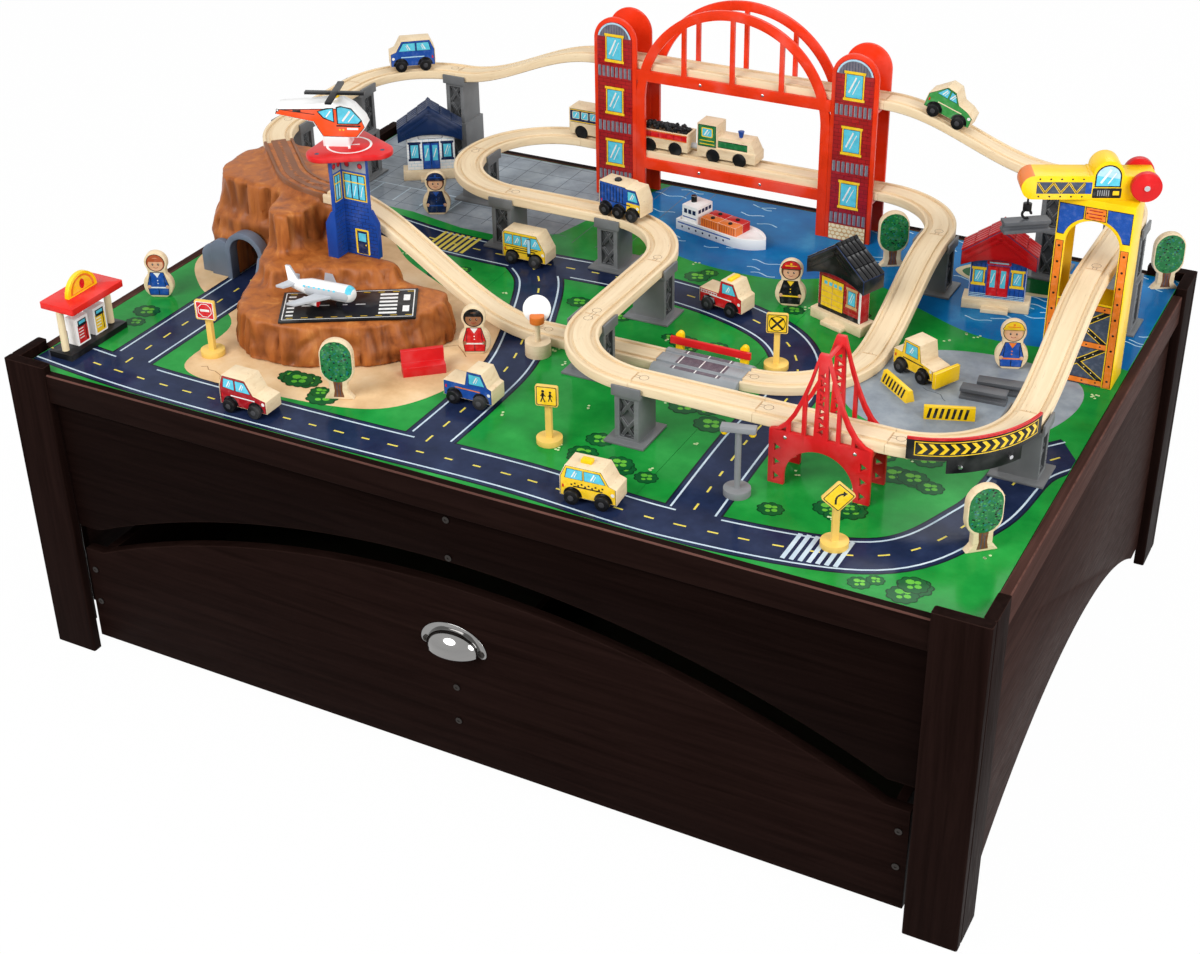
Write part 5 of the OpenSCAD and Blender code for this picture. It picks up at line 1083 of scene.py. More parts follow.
def runwayPrint():
    r = runway
    hx, hy, line, keys = r["length"] / 2 - r["margin"], r["width"] / 2 - r["margin"], r["border"], r["keys"]
    stamp("runway", top(spot(*r["spot"]), r["thick"]), [
        ("white", 1, *repeat(rect(0, -hy, 2 * hx, line), 2, 0, 2 * hy),
         *repeat(rect(-hx, 0, line, 2 * hy), 2, 2 * hx)),
        ("yellow", 1, *[rect(-hx + 9 + 18 * i, s * (hy - 4), 8, 1.1) for i in range(9) for s in both]),
        ("white", 1, *repeat(rect(-52, 0, 12, 2.2), 4, 22), *repeat(rect(48, -25, 22, 5), keys, 0, 10),
         *repeat(rect(70, -15, 8, 16), 2, 0, 30), *repeat(rect(-71, -25, 9, 4), keys, 0, 10))])


def planeToy():
    plane = spot(-300, -212, 75, 4)

    def planeRule(x, y, z, n):
        p = inSpot(plane, x, y, z)
        if p.z < -11.2 or (p.z < -9 and abs(p.y) < 8 and abs(p.x - 5) < 22):
            return 2
        if abs(abs(p.y) - 20) < 5.6 and p.z < -5.2:
            return 3 if p.x > 5.5 else 0
        if abs(p.y) > 9.2 or (p.z > 10 and p.x < -25) or (p.x < -36 and abs(p.y) > 4):
            return 1
        return 4 if p.x > 38.5 and p.z > 3.4 and p.x < 45.5 else 0

    dress("airplane", [white, wingGrey, black, red, ink("cyan")], planeRule, 0.5)
    for s, make in ((-1, back), (1, front)):  # window rows along the fuselage
        side = make(plane @ turned(-28 * s, "X"), 11.02)
        stamp("planeWindows", side,
              [("cyan", 1, *[roundRect((-18 + 7 * i) * s, 0, 3.4, 2.4, 1) for i in range(7)])])


def towerToy():
    tower = spot(-310, -121, 78)
    dress("control_tower", [blue], size=0.8)
    bricks = (5, 10, 0.6)
    # Face, its two edges, and the right edge of its lower part
    walls = ((front(tower, -6.5), -16, 22, 31), (rightSide(tower, -16), -12.5, 6.5, 6.5),
             (back(tower, 12.5), -22, 22, None), (leftSide(tower, 22), -12.5, 12.5, None))
    for face, low, high, foot in walls:
        middle, w = (low + high) / 2, high - low
        count = 3 if w > 30 else 2
        step = (w - 8) / count
        left = [low + 4 + step * i for i in range(count)]
        courses = brickLines(low + 0.6, foot - 1, 4, 44, *bricks) if foot else []
        courses += brickLines(low + 0.6, high - 1, 46 if foot else 64, 72, *bricks)
        lamps = [middle + s * w / 4 for s in both]
        stamp("towerPrint", face, [
            ("navy", 1, *courses), ("yellow", 2, rect(middle, 92, w - 4, 36)),
            ("navy", 3, rect(middle, 92, w - 7, 33)),
            ("cyan", 4, *[rect(x + step / 2, z, step - 1.8, h) for x in left
                          for z, h in ((87, 21), (103, 9))]),
            ("yellow", 5, rect(middle, 98, w - 7, 1.6)),
            ("white", 5, *[bar(x + step * 0.3, 80, x + step * 0.66, 94, 1) for x in left]),
            ("grey", 2, rect(middle, 121, w - 2, 17)), ("red", 4, *[disc(x, 121, 3) for x in lamps]),
            ("navy", 3, *[disc(x, 121, 3.8) for x in lamps])])
    stamp("towerPrint", walls[0][0], [
        ("yellow", 3, roundRect(8, 19, 20, 34, 1.5)), ("navy", 4, rect(8, 18, 15, 31)),
        ("cyan", 5, rect(8, 25, 11, 11)), ("yellow", 5, disc(12.6, 15, 1.1, count=10))])


heli = {
    "spot": (-338, -97, 217, 22), "half": 13, "size": (112, 44), "low": 12, "trim": 0.03, "blade": 3,
    "side": ((0.34, 0.3), (0.31, 0.5), (0.2, 0.84), (0.08, 1), (-0.1, 1), (-0.3, 0.93), (-0.64, 0.86),
             (-0.66, 0.66), (-0.24, 0.44), (-0.14, 0), (0.24, 0)),
    "bubble": [(3, 29), (30, 29), (34.6, 34), (31, 39), (22, 50), (9, 52.6), (3, 51)],
    "rear": [(-14, 36), (-21, 45), (-10, 49.4), (0, 50), (0, 31)],
}


def heliToy():
    h = heli
    dress("helipad", [red], size=1.4)
    stamp("padPrint", top(spot(-322, -98, 210, 35), 7), [
        ("white", 1, *ring(0, 0, 25.5, 28.5, 48), rect(0, 0, 26, 3), rect(0, 0, 3, 26)),
        ("navy", 1, *[disc(x, y, 3) for x, y in arc(46, 46, (90, 210, 330))])])
    dress("helicopter", [white], size=0.9)
    shape = [(x * h["size"][0], h["low"] + z * h["size"][1]) for x, z in h["side"]][::-1]
    edge, body = ([(x, min(z, high + h["trim"] * x)) for x, z in inset(shape, gap)]
                  for gap, high in ((0.8, 49), (1.7, 48)))
    inkMaterials["heli"] = plastic("helicopter orange", (0.80, 0.075, 0.010), 0.32)
    onSides("heliPrint", spot(*h["spot"]), h["half"], [
        ("black", 1, edge), ("heli", 2, body), ("black", 3, h["bubble"], h["rear"]),
        ("cyan", 4, inset(h["bubble"], 1.9), inset(h["rear"], 1.9)),
        ("white", 5, bar(10, 33, 20, 46, 2.4), bar(17, 32, 25, 42, 1.2), bar(-10, 38, -4, 46, 1.6)),
        ("black", 5, rect(17, 27, 30, 2), disc(-70, 45.6, 2), bar(-24, 41, -66, 46.4, 0.9),
         rect(-46, 45, 10, 3)),
        ("white", 6, rect(22, 23.4, 14, 2.6), disc(-70, 45.6, 1.1, count=12)),
        ("yellow", 6, *repeat(disc(6, 22, 1.2, count=10), 2, 4.4))])
    blades = (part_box("rotor")[1].z - boardTop) / mm - h["blade"]
    dress("rotor", [black, yellow], lambda x, y, z, n: int(z < blades - 0.2), 0.4,
          "helicopter_rotor")


def airfield():
    dress("tunnel_portal", [stoneGrey], size=1.2)
    dress("runway_plate", [black], size=0.5)
    runwayPrint()
    planeToy()
    towerToy()
    heliToy()
    print("airfield finished")


# Arch bridge: orange frames, brick faces, small bolts

archBridge = {
    "towers": (-183.5, 168.5), "middle": -7.5, "y": 375, "faceDepth": 28, "frameDepth": 26,
    "bolt": (2.1, 1.0), "boltX": 46, "boltZ": (59, 187.5), "half": 26.5,
    "bands": ((25, 41), (99, 115), (179, 195)), "windows": (68, 145, 221), "top": 231.5,
"small": (374, -241), "smallX": 39.5, "smallZ": (59.5,),
}
brick = {
    "Color1": (0.46, 0.010, 0.014, 1), "Color2": (0.36, 0.007, 0.011, 1), "Mortar": (0.16, 0.003, 0.006, 1),
    "Mortar Size": 0.00035, "Brick Width": 0.0115, "Row Height": 0.0054, "Scale": 1.0,
}


def brickFinish():
    mat, tree = startMaterial("tower brick print")
    coords = addNode(tree, "TexCoord").outputs["Object"]
    upright = addNode(tree, "Mapping",
                      {"Vector": coords, "Rotation": (math.radians(-90), 0, 0)}).outputs["Vector"]
    bricks = addNode(tree, "TexBrick", {**brick, "Vector": upright}).outputs
    soft = noiseAt(coords, 60, 4)
    tone = ramp(soft, [(0.3, (0.78, 0.78, 0.78)), (0.7, paleTone)])
    color = blendColor(0.8, bricks["Color"], tone, "MULTIPLY")
    return surface(mat, color, spread(soft, 0.26, 0.36), 0.5, bricks["Fac"], (-0.2, 0.0001))


def towerPrint(face, rng, mark):
    b = archBridge
    h, crown = b["half"], b["top"]
    for z0, z1 in b["bands"]:  # a course of upright stones
        x, z = -h + 3.4, (z0 + z1) / 2
        while x < h - 2:
            stamp(mark, face, [("stone", 1, rect(x, z, 4.4, z1 - z0 - rng.uniform(0, 1.2))),
                               ("grey", 2, rect(x - 1.5, z, 0.8, z1 - z0 - 2))])
            x += 6.6
    stamp(mark, face, [("tan", 1, rect(0, 12.2, 2 * h - 1, 22))])
    for row in range(4):  # paving at the foot
        for k in range(8 + row % 2):
            x, z = -22.8 + 6.5 * k - 3.2 * (row % 2), 3.8 + 5.6 * row
            stone = []
            for a in range(15, 375, 60):
                p = x + rng.uniform(2.6, 3.5) * math.cos(math.radians(a))
                q = z + rng.uniform(2.3, 3) * math.sin(math.radians(a))
                stone.append((max(-h + 0.8, min(h - 0.8, p)), max(1.4, min(23, q))))
            stamp(mark, face, [("cream", 2 + 0.02 * k, stone)])
    slats = [(x, math.sqrt((h - 3.6) ** 2 - x * x) - 5) for x in range(-20, 21, 4)]
    stamp(mark, face, [
        ("paleBlue", 1, disc(0, crown, h - 0.6, start=12, end=168, count=24)),
        ("stone", 2, disc(0, crown, h - 3, start=12, end=168, count=24)),
        ("slate", 3, *[rect(x, crown + 5 + tall / 2, 0.8, tall) for x, tall in slats])])
    for z in b["windows"]:
        glazed(mark, face, 0, z, 22, 31, 4)


def bolts(name, place, x, heights):
    depth = archBridge["frameDepth"]
    places = [facing(place, s * x, way * depth, z, side)
              for z in heights for s in both for way, side in ((-1, "front"), (1, "back"))]
    studs(name, silver, "screw_steel", places, *archBridge["bolt"])


def bridges():
    b = archBridge
    rng = random.Random(5)
    dress("bridge_towers", [orange], size=0.8)
    dress("bridge_arches", [orange], size=0.8)
    dress("tower_faces", [brickFinish()], size=0.4)
    for x in b["towers"]:
        for make in (front, back):
            towerPrint(make(spot(x, b["y"]), b["faceDepth"]), rng, "towerFacePrint")
    bolts("bridgeBolts", spot(b["middle"], b["y"]), b["boltX"], b["boltZ"])
    dress("suspension_bridge", [red])
    bolts("smallBridgeBolts", spot(*b["small"]), b["smallX"], b["smallZ"])
    print("bridges finished")


# Guard on the front right curve

guard = {"x": 443, "y": -128, "r": 136.3, "start": -78.5, "end": -11.5, "chevrons": 13,
         "lines": (72.2, 88.0)}


def band(z0, z1, a0, a1, count=36):
    step = (a1 - a0) / count
    return repeat([(a0, z0), (a0 + step, z0), (a0 + step, z1), (a0, z1)], count, step)


def guardRule(x, y, z, n):
    return 1 if z > 92 else 2 if math.hypot(x - guard["x"], y - guard["y"]) > 136.8 else 0


def curveGuard():
    g = guard
    dress("curve_guard", [black, red, silver], guardRule, 0.35)
    place = spot(g["x"], g["y"])
    start, end, (low, high) = g["start"], g["end"], g["lines"]

    def face(a, b, level):
        t = math.radians(a)
        r = (g["r"] + 0.05 + level * inkStep) * mm
        return place @ Vector((r * math.cos(t), r * math.sin(t), b * mm))

    frameLines = [q for z in g["lines"] for q in band(z - 0.5, z + 0.5, start + 2, end - 2)]
    frameLines += [q for a in (start + 2, end - 2.4) for q in band(low, high, a, a + 0.4, 1)]
    step = (end - start - 6) / g["chevrons"]
    a, w, tip, z = start + 3.4, step * 0.44, step * 0.5, (low + high) / 2
    lower = [(a, 74), (a + w, 74), (a + w + tip, z), (a + tip, z)]
    upper = [(a + tip, z), (a + w + tip, z), (a + w, 86.2), (a, 86.2)]
    stamp("guardPrint", face, [
        ("red", 1, *band(90.4, 92.3, start - 1.2, end + 1.2)), ("yellow", 1, *frameLines),
        ("yellow", 1.5, *repeat(lower, g["chevrons"], step), *repeat(upper, g["chevrons"], step))])
    print("curve guard finished")


# Crane

crane = {"x": 553, "y": 117, "jibZ": 231.3, "turn": 25, "depth": 23, "strip": 37, "archZ": 175,
         "jibHalf": 17}


def cranePrint(face):
    c = crane
    rows = []
    for x in (-c["strip"], c["strip"]):
        rows += [("black", 1, rect(x, 89, 9.4, 176)), ("orange", 2, rect(x, 89, 8, 175)),
                 ("black", 3, *repeat(disc(x, 10, 1.5, count=12), 9, 0, 20))]
    rows += [("slate", 1, rect(0, 52, 62, 103))]
    for z0, z1 in ((9, 50), (56, 97)):
        rise, fall = (-29, z0, 29, z1), (-29, z1, 29, z0)
        dots = [disc(s * t * 29, (z0 + z1) / 2 + s * u * t * (z1 - z0) / 2, 0.8, count=8)
                for t in (0.3, 0.6) for s in both for u in both]
        rows += [("yellow", 2, bar(*rise, 6.4)), ("yellow", 3, bar(*fall, 6.4)),
                 ("black", 4, bar(*rise, 4.6)), ("black", 5, bar(*fall, 4.6)), ("cream", 6, *dots)]
    for z in (5.5, 53, 100.5):
        rows += [("black", 6, rect(0, z, 62, 8)), ("orange", 7, rect(0, z, 62, 6.6)),
                 ("black", 8, *repeat(disc(-24, z, 1.1, count=10), 4, 16))]
    for s in both:  # corners over the arch
        arch = arc(s * 35, 35, range(16, 69, 4), 0, c["archZ"])
        corner = ([(s * 41.6, 223), (s * 41.6, 185)] + arch + [(s * 13, 223)])[::-s]
        rows += [("black", 3, corner), ("blue", 4, inset(corner, 1.1))]
    rows += [("black", 5, rect(0, 215, 24, 15.6)), ("orange", 6, rect(0, 215, 22.4, 14)),
             ("crimson", 7, *repeat(rect(0, 211, 15, 1.2), 3, 0, 4)),
             ("black", 7, *repeat(disc(-9.4, 215, 1, count=10), 2, 18.8))]
    stamp("cranePrint", face, rows)


def jibPrint(face, s):
    x = s * -51
    dots = repeat(disc(x - 24, 24.4, 1.1, count=10), 5, 12) + repeat(disc(x - 24, 3.6, 1.1, count=10), 5, 12)
    stamp("jibPrint", face, [
        ("blue", 1, rect(s * -20.5, 14, 7, 14)), ("slate", 1, rect(x, 14, 54, 14)),
        ("yellow", 2, *crossBars(x - 26, 8, x + 26, 20, 6, 2.2)),
        ("black", 3, *crossBars(x - 26, 8, x + 26, 20, 6, 0.8)),
        ("black", 1, *dots, roundRect(0, 8, 32, 12, 1.5)), ("grey", 2, *repeat(rect(-10, 8, 1, 7), 6, 2.4)),
        ("yellow", 2, rect(10, 8, 7, 5)), ("black", 1, dome(0, 27, 14.6, 15, 20)),
        ("paleBlue", 2, dome(0, 27, 13, 16.6, 20)),
        ("cyan", 3, [(-13, 16.6), (13, 16.6), (13, 25), (-13, 29)]),
        ("white", 4, bar(-8, 20, 2, 36, 2.6), bar(0, 19, 8, 32, 1.3))], "jib")


def craneSet():
    c = crane
    place, jib = spot(c["x"], c["y"]), spot(c["x"], c["y"], c["jibZ"], c["turn"])
    dress("crane_tower", [yellow], size=0.8)
    cranePrint(front(place, c["depth"]))
    cranePrint(back(place, c["depth"]))
    dress("crane_jib", [yellow, containerOrange],
          lambda x, y, z, n: int(inSpot(jib, x, y, z).x < -79.5), 1.2, "jib")
    jibPrint(front(jib, c["jibHalf"]), 1)
    jibPrint(back(jib, c["jibHalf"]), -1)
    dress("winch_drum", [red, silver],
          lambda x, y, z, n: int(abs(inSpot(jib, x, y, z).y) > 26.5), 1.0, "winch")
    dress("crane_hook", [black, loadGrey], lambda x, y, z, n: int(z < 199.9), 0.35, "hook")
    print("crane finished")


# Houses with ribbed roofs, and the fuel stop

house = {
    "wallHalf": 8, "roofHalf": 19, "ridge": 113, "slope": 35, "slopeLength": 57.4, "rows": 3, "ribs": 5,
    "pitch": 7.5, "ribWidth": 6.2, "ribHeight": 1.7, "fascia": (3.2, 10.4), "fasciaSize": (1.4, 4.6),
    "cap": 5, "edge": 0.5,
}
houseSpots = [(-463, 298, 0, 33), (253, 117, 0, -21), (410, 246, 0, 11)]


# Rows of raised tiles on both slopes, boards along the gables and a cap on the ridge
def roofTiles(name, place, finish):
    h = house
    bm = bmesh.new()
    row, rise = h["slopeLength"] / h["rows"], h["ribHeight"]
    pitches = [(k - (h["ribs"] - 1) / 2) * h["pitch"] for k in range(h["ribs"])]

    def lean(way, run, y, slope):
        a = math.radians(h["slope"])
        at = shifted(way * run * math.cos(a), y, h["ridge"] - run * math.sin(a))
        return place @ at @ turned(way * slope, "Y")

    for way in both:
        for r in range(h["rows"]):
            for y in pitches:
                slab = lean(way, (r + 0.5) * row, y, h["slope"] - 2)
                addBox(bm, slab, (row - 1.0, h["ribWidth"], rise + 1), (0, 0, rise / 2 - 0.5))
        for drop in h["fascia"]:
            slab = lean(way, h["slopeLength"] / 2, 0, h["slope"])
            for side in both:
                addBox(bm, slab, (h["slopeLength"] - 2, *h["fasciaSize"]), (0, side * h["roofHalf"], -drop))
    ridge = place @ shifted(0, 0, h["ridge"] + 0.2) @ turned(45, "Y")
    for y in pitches:
        addBox(bm, ridge, (h["cap"], h["ribWidth"], h["cap"]), (0, y, 0))
    roundEdges(bm, h["edge"])
    pieceFrom(name, bm, [finish], "table")


wallBricks = brickLines(-34.4, 34.4, 15, 62, 4.6, 9.2, 0.5)
housePrints = [
    {  # pale brick, navy door and windows
        "sides": [("paleBlue", 1, *wallBricks)],
        "front": [("navy", 2, roundRect(0, 65, 36, 6.4, 2)), ("white", 3, roundRect(0, 65, 34.6, 5, 1.6)),
                  ("navy", 2, rect(0, 36, 25, 43)), ("blue", 3, *repeat(rect(-6, 35, 11, 39), 2, 12)),
                  ("cyan", 4, *repeat(rect(-6, 40, 7.4, 24), 2, 12)),
                  ("white", 5, *repeat(bar(-8.4, 33, -4, 47, 1.3), 2, 12))],
        "windows": [(-24, 43, 11, 20, 2, "navy"), (24, 43, 11, 20, 2, "navy")],
    },
    {  # dark red, a wide yellow door
        "sides": [("rust", 1, *wallBricks), ("black", 2, rect(0, 17, 69, 6)),
                  ("white", 3, rect(33.4, 40, 2.4, 50))],
        "front": [("black", 3, rect(-12, 39, 38, 42)), ("yellow", 4, rect(-12, 39, 36, 40)),
                  ("tan", 5, *repeat(rect(-12, 24, 36, 0.8), 4, 0, 8), rect(-12, 39, 0.8, 40)),
                  ("cyan", 6, *repeat(rect(-23, 52, 5, 4.6), 4, 8))],
        "windows": [(20, 44, 11, 18, 3, "tan")],
    },
    {  # blue boards, a red double door
        "sides": [("navy", 1, *repeat(rect(-33, 38, 0.6, 47), 13, 5.5)),
                  ("paleBlue", 2, *repeat(rect(0, 15.6, 68, 0.9), 3, 0, 2.2))],
        "front": [("red", 2, roundRect(0, 64, 30, 6, 2)), ("paleBlue", 3, roundRect(0, 64, 24, 2, 0.9)),
                  ("crimson", 3, rect(0, 39, 27, 42)),
                  ("red", 4, *repeat(rect(-6.4, 38.5, 11.6, 39), 2, 12.8)),
                  ("cyan", 5, *repeat(rect(-6.4, 42, 6.4, 24), 2, 12.8)),
                  ("white", 6, *repeat(bar(-8.4, 36, -4.8, 50, 1.1), 2, 12.8))],
        "windows": [(-24, 44, 10, 16, 2), (24, 44, 10, 16, 2)],
    },
]


def fuelStop():
    place = spot(-570, -338)

    def fuelRule(x, y, z, n):
        wall = 1 if abs(inSpot(place, x, y, z).y) > 34 else 2
        return 0 if z < 8.05 else 4 if z > 70.2 else 3 if z > 61.9 else wall

    canopy = plastic("canopy red", (0.72, 0.020, 0.014), 0.30)
    dress("fuel_stop", [black, cream, white, canopy, yellow], fuelRule, 0.8)
    for make, way in ((rightSide, 1), (leftSide, -1)):
        for y, color in ((way * -16, "red"), (way * 16, "yellow")):
            stamp("pumps", make(place, 8), [
                (color, 1, rect(y, 22, 17, 24)),
                ("black", 2, rect(y, 36, 15, 9), rect(y + 5.4, 22, 1.4, 20)),
                ("cyan", 3, rect(y, 37, 11, 4)), ("white", 3, *repeat(rect(y - 3, 17, 8, 1.4), 4, 0, 4))])
        stamp("fuelSign", make(place, 3), [
            ("orange", 1, dome(0, 72, 21, 72, 24)), ("yellow", 2, dome(0, 73, 17.5, 73, 24)),
            ("red", 3, disc(0, 81, 4.4, 6.4))])


def houses():
    half = house["wallHalf"]
    roofs = [plastic("roof navy", (0.006, 0.020, 0.070), 0.34),
             plastic("roof black", (0.006, 0.006, 0.007), 0.28, 0.3),
             plastic("roof red", (0.40, 0.003, 0.006), 0.32)]
    walls = [white, ink("crimson"), ink("blue")]

    def houseRule(x, y, z, n):
        return nearest(houseSpots, x, y)

    dress("house_bases", [baseWood], size=0.9)
    dress("house_walls", walls, houseRule, 0.5)
    dress("house_roofs", roofs, houseRule, 0.8)
    for i, (where, marks) in enumerate(zip(houseSpots, housePrints)):
        place, mark = spot(*where), f"house{i + 1}"
        face = front(place, half)
        roofTiles(f"roofTiles{i + 1}", place, roofs[i])
        onSides(mark, place, half, marks["sides"])
        stamp(mark, face, marks["front"])
        for window in marks["windows"]:
            glazed(mark, face, *window)
    fuelStop()
    print("houses and fuel stop finished")


# Wooden figures, trees and signs, each with a generic print

doll = {
    "half": 5, "headZ": 49, "headR": 11.4,
    "edge": [(-14.4, 17), (-12.4, 3), (12.4, 3), (14.4, 17), (9, 36), (-9, 36)],
    "coat": [(-8.2, 35.2), (-13.5, 17), (-11.6, 3.8), (11.6, 3.8), (13.5, 17), (8.2, 35.2)],
    "collar": [(-4.6, 35), (0, 28), (4.6, 35)],
}
dolls = [
    ((-572, -196, 0, 24), "skin", "rust", None, "blue", "white"),
    ((-385, 186, 0, 28), "skin", "brown", "navy", "navy", "blue"),
    ((-122, -150, 0, 26), "brownSkin", "black", None, "red", "white"),
    ((174, 138, 0, 16), "skin", "brown", "red", "black", "yellow"),
    ((474, 98, 0, 20), "skin", "tan", "yellow", "blue", "orange"),
]


def dollPrint(where, skin, hair, hat, cloth, trim):
    z, r = doll["headZ"], doll["headR"]
    mouth = strokes(disc(0, z - 5, 3.1, 2.0, start=205, end=335, count=8), 0.7)
    rows = [
        ("black", 1, disc(0, z, r + 0.9), doll["edge"]), (hair, 2, disc(0, z, r)),
        (skin, 3, disc(0, z - 1.8, r - 1.6, r - 2.2)),
        (hair, 4, [(-9.6, z + 1.6), (9.6, z + 1.6), (8.4, z + 6.6), (-8.4, z + 6.6)]),
        ("black", 5, *repeat(disc(-3.7, z - 2, 1.15, 1.5, count=14), 2, 7.4)),
        ("white", 6, *repeat(disc(-3.3, z - 1.5, 0.4, count=8), 2, 7.4)), ("crimson", 5, *mouth),
        (cloth, 2, doll["coat"]), (trim, 3, doll["collar"], rect(0, 14, 22, 2)),
        (skin, 3, *repeat(disc(-12, 15, 2.5, count=14), 2, 24)),
        ("black", 4, rect(0, 8, 0.9, 9), bar(-8.6, 31, -9.6, 17, 0.8), bar(8.6, 31, 9.6, 17, 0.8)),
        (trim, 4, *repeat(disc(0, 24, 0.9, count=8), 2, 0, -4)),
    ]
    if hat:
        for color, level, lift, wide, high, brim in (("black", 7, 4.6, r + 0.6, r - 1.2, (26, 3.4, 1.6)),
                                                     (hat, 8, 5, r - 0.2, r - 2.2, (24.6, 2.2, 1.0))):
            crown = disc(0, z + lift, wide, high, start=0, end=180, count=20)
            rows.append((color, level, crown, roundRect(0, z + 4.6, *brim)))
        rows.append((trim, 9, rect(0, z + 7.4, 15, 1.2), disc(0, z + 10, 1.5, count=12)))
    stamp("dolls", front(spot(*where), doll["half"]), rows)


def leafDots(group, face, rng, count, colors, level):
    for k in range(count):
        a, b = rng.uniform(-18, 18), rng.uniform(24, 75)
        middle = 57 if b > 57 else 41 if b < 41 else b
        if math.hypot(a, b - middle) < 17.2:
            r = rng.uniform(0.7, 1.5)
            stamp(group, face,
                  [(colors[k % len(colors)], level + 0.001 * k, disc(a, b, r, r * 0.8, count=7))])


treeSpots = [(-207, -318, 0, 22), (562, -292, 0, 42), (250, 303, 0, 30), (587, 392, 0, 30)]
treePrint = [
    ("brown", 1, [(-6.4, 3), (6.4, 3), (4.6, 12), (5.6, 24), (-5.6, 24), (-4.6, 12)]),
    ("slate", 2, bar(-2, 4, -1.4, 22, 1), bar(2.2, 4, 1.6, 20, 0.9)),
    ("green", 3, roundRect(0, 49.5, 37, 53.4, 18.4)),
]
signSpots = [(-410, -296, 0, 12), (64, -299, 0, 14), (224, -26, 0, 18), (427, -352, 0, 34)]
signPlate = {"z": 63, "half": 7.5}


def walker(x, s):
    hip, neck = (x - 0.4, -1.2 * s), (x, 3.4 * s)
    return [disc(x, 6 * s, 1.8 * s, count=14), bar(x, 4 * s, x - 0.4, -1.6 * s, 2.8 * s),
            bar(*hip, x - 2.6 * s, -7.6 * s, 1.4 * s), bar(*hip, x + 2.2 * s, -7.4 * s, 1.4 * s),
            bar(*neck, x + 3 * s, -0.6 * s, 1.1 * s), bar(*neck, x - 2.8 * s, 0, 1.1 * s)]


def onCorner(points):
    turn = Matrix.Rotation(math.radians(45), 2)
    return [tuple(turn @ Vector(p)) for p in points]


eightEdge = arc(9.2, 9.2, [22.5 + 45 * k for k in range(9)])
bend = [(-3, -8), (-3, -2), (-1.6, 1.4), (2, 3.4), (5, 3.6)]
yellowPlate = [("black", 1, roundRect(0, 0, 23.4, 23.4, 1.6)),
               ("yellow", 2, roundRect(0, 0, 21.6, 21.6, 1.2))]
signPrints = [  # bare stop plate, two walkers, crossed bars, bend ahead
    [("white", 1, roundRect(0, 0, 23, 23, 1.6)), ("red", 2, roundRect(0, 0, 21, 21, 1.2)),
     ("white", 3, *strokes(eightEdge, 0.9), rect(0, 0, 12, 3))],
    yellowPlate + [("black", 3, *walker(-4, 1), *walker(4.4, 0.86))],
    yellowPlate + [("black", 3, bar(-7.4, -7.4, 7.4, 7.4, 2.6), bar(-7.4, 7.4, 7.4, -7.4, 2.6),
                    *ring(0, 0, 9, 10, 30))],
    yellowPlate + [("black", 3, *strokes(onCorner(bend), 2.2), onCorner([(4.6, 0.2), (9, 3.6), (4.6, 7)]))],
]


def woodenToys():
    rng = random.Random(23)
    dress("toy_people", [blockWood], size=1.1)
    for look in dolls:
        dollPrint(*look)
    dress("toy_trees", [blockWood], size=1.1)
    for where in treeSpots:
        for make in (front, back):
            face = make(spot(*where), 5)
            stamp("trees", face, treePrint)
            leafDots("trees", face, rng, 170, ("teal", "leaf", "black"), 4)
    dress("road_signs", [signYellow], size=0.7)
    for i, (where, rows) in enumerate(zip(signSpots, signPrints)):
        place = spot(*where) @ shifted(0, 0, signPlate["z"]) @ turned(45 if i == 3 else 0, "Y")
        stamp("signPlates", front(place, signPlate["half"]), rows)
    print("figures, trees and signs finished")


# Street pieces: lamp, bench, dish, two barriers, two beams

streetSpots = [(297, -305, 0, 14), (-152, -221), (-50, -121, 0, 28), (374, -17, 0, -40), (448, -50, 0, 20),
               (470, 8), (482, 34)]


def streetRule(x, y, z, n):
    i = nearest(streetSpots, x, y)
    p = inSpot(spot(*streetSpots[i]), x, y, z)
    reach = p.xy.length
    if i == 0:
        return 1 if 71 < z < 77.9 and abs(p.x) > 9 else 0
    if i == 2:
        stem = 3 if z < 50.2 and reach < 16.6 and p.y < 8 else 4
        return 5 if 45 < z < 55.2 and p.y < 4.2 and reach > 3.8 else stem
    if i > 4:
        return 7 if z > 14.05 else 6
    return 2 if i == 1 else 1


def streetPieces():
    lampGrey = plastic("lamp grey", (0.24, 0.25, 0.26), 0.4)
    finishes = [lampGrey, yellow, red, blockWood, white, containerOrange, loadGrey, black]
    dress("street_pieces", finishes, streetRule)
    lean = math.degrees(math.atan2(3.5, 15))
    slashes = repeat([(-26, 1.6), (-22.6, 1.6), (-19.6, 13.6), (-23, 13.6)], 7, 7)
    for where in streetSpots[3:5]:  # slashes on the barriers
        for turn in (0, 180):
            place = spot(*where) @ turned(turn, "Z") @ shifted(0, -6, 0) @ turned(-lean, "X")
            stamp("barrierSlashes", front(place, 0), [("black", 1, *slashes)])
    print("street pieces finished")


# Cargo boat

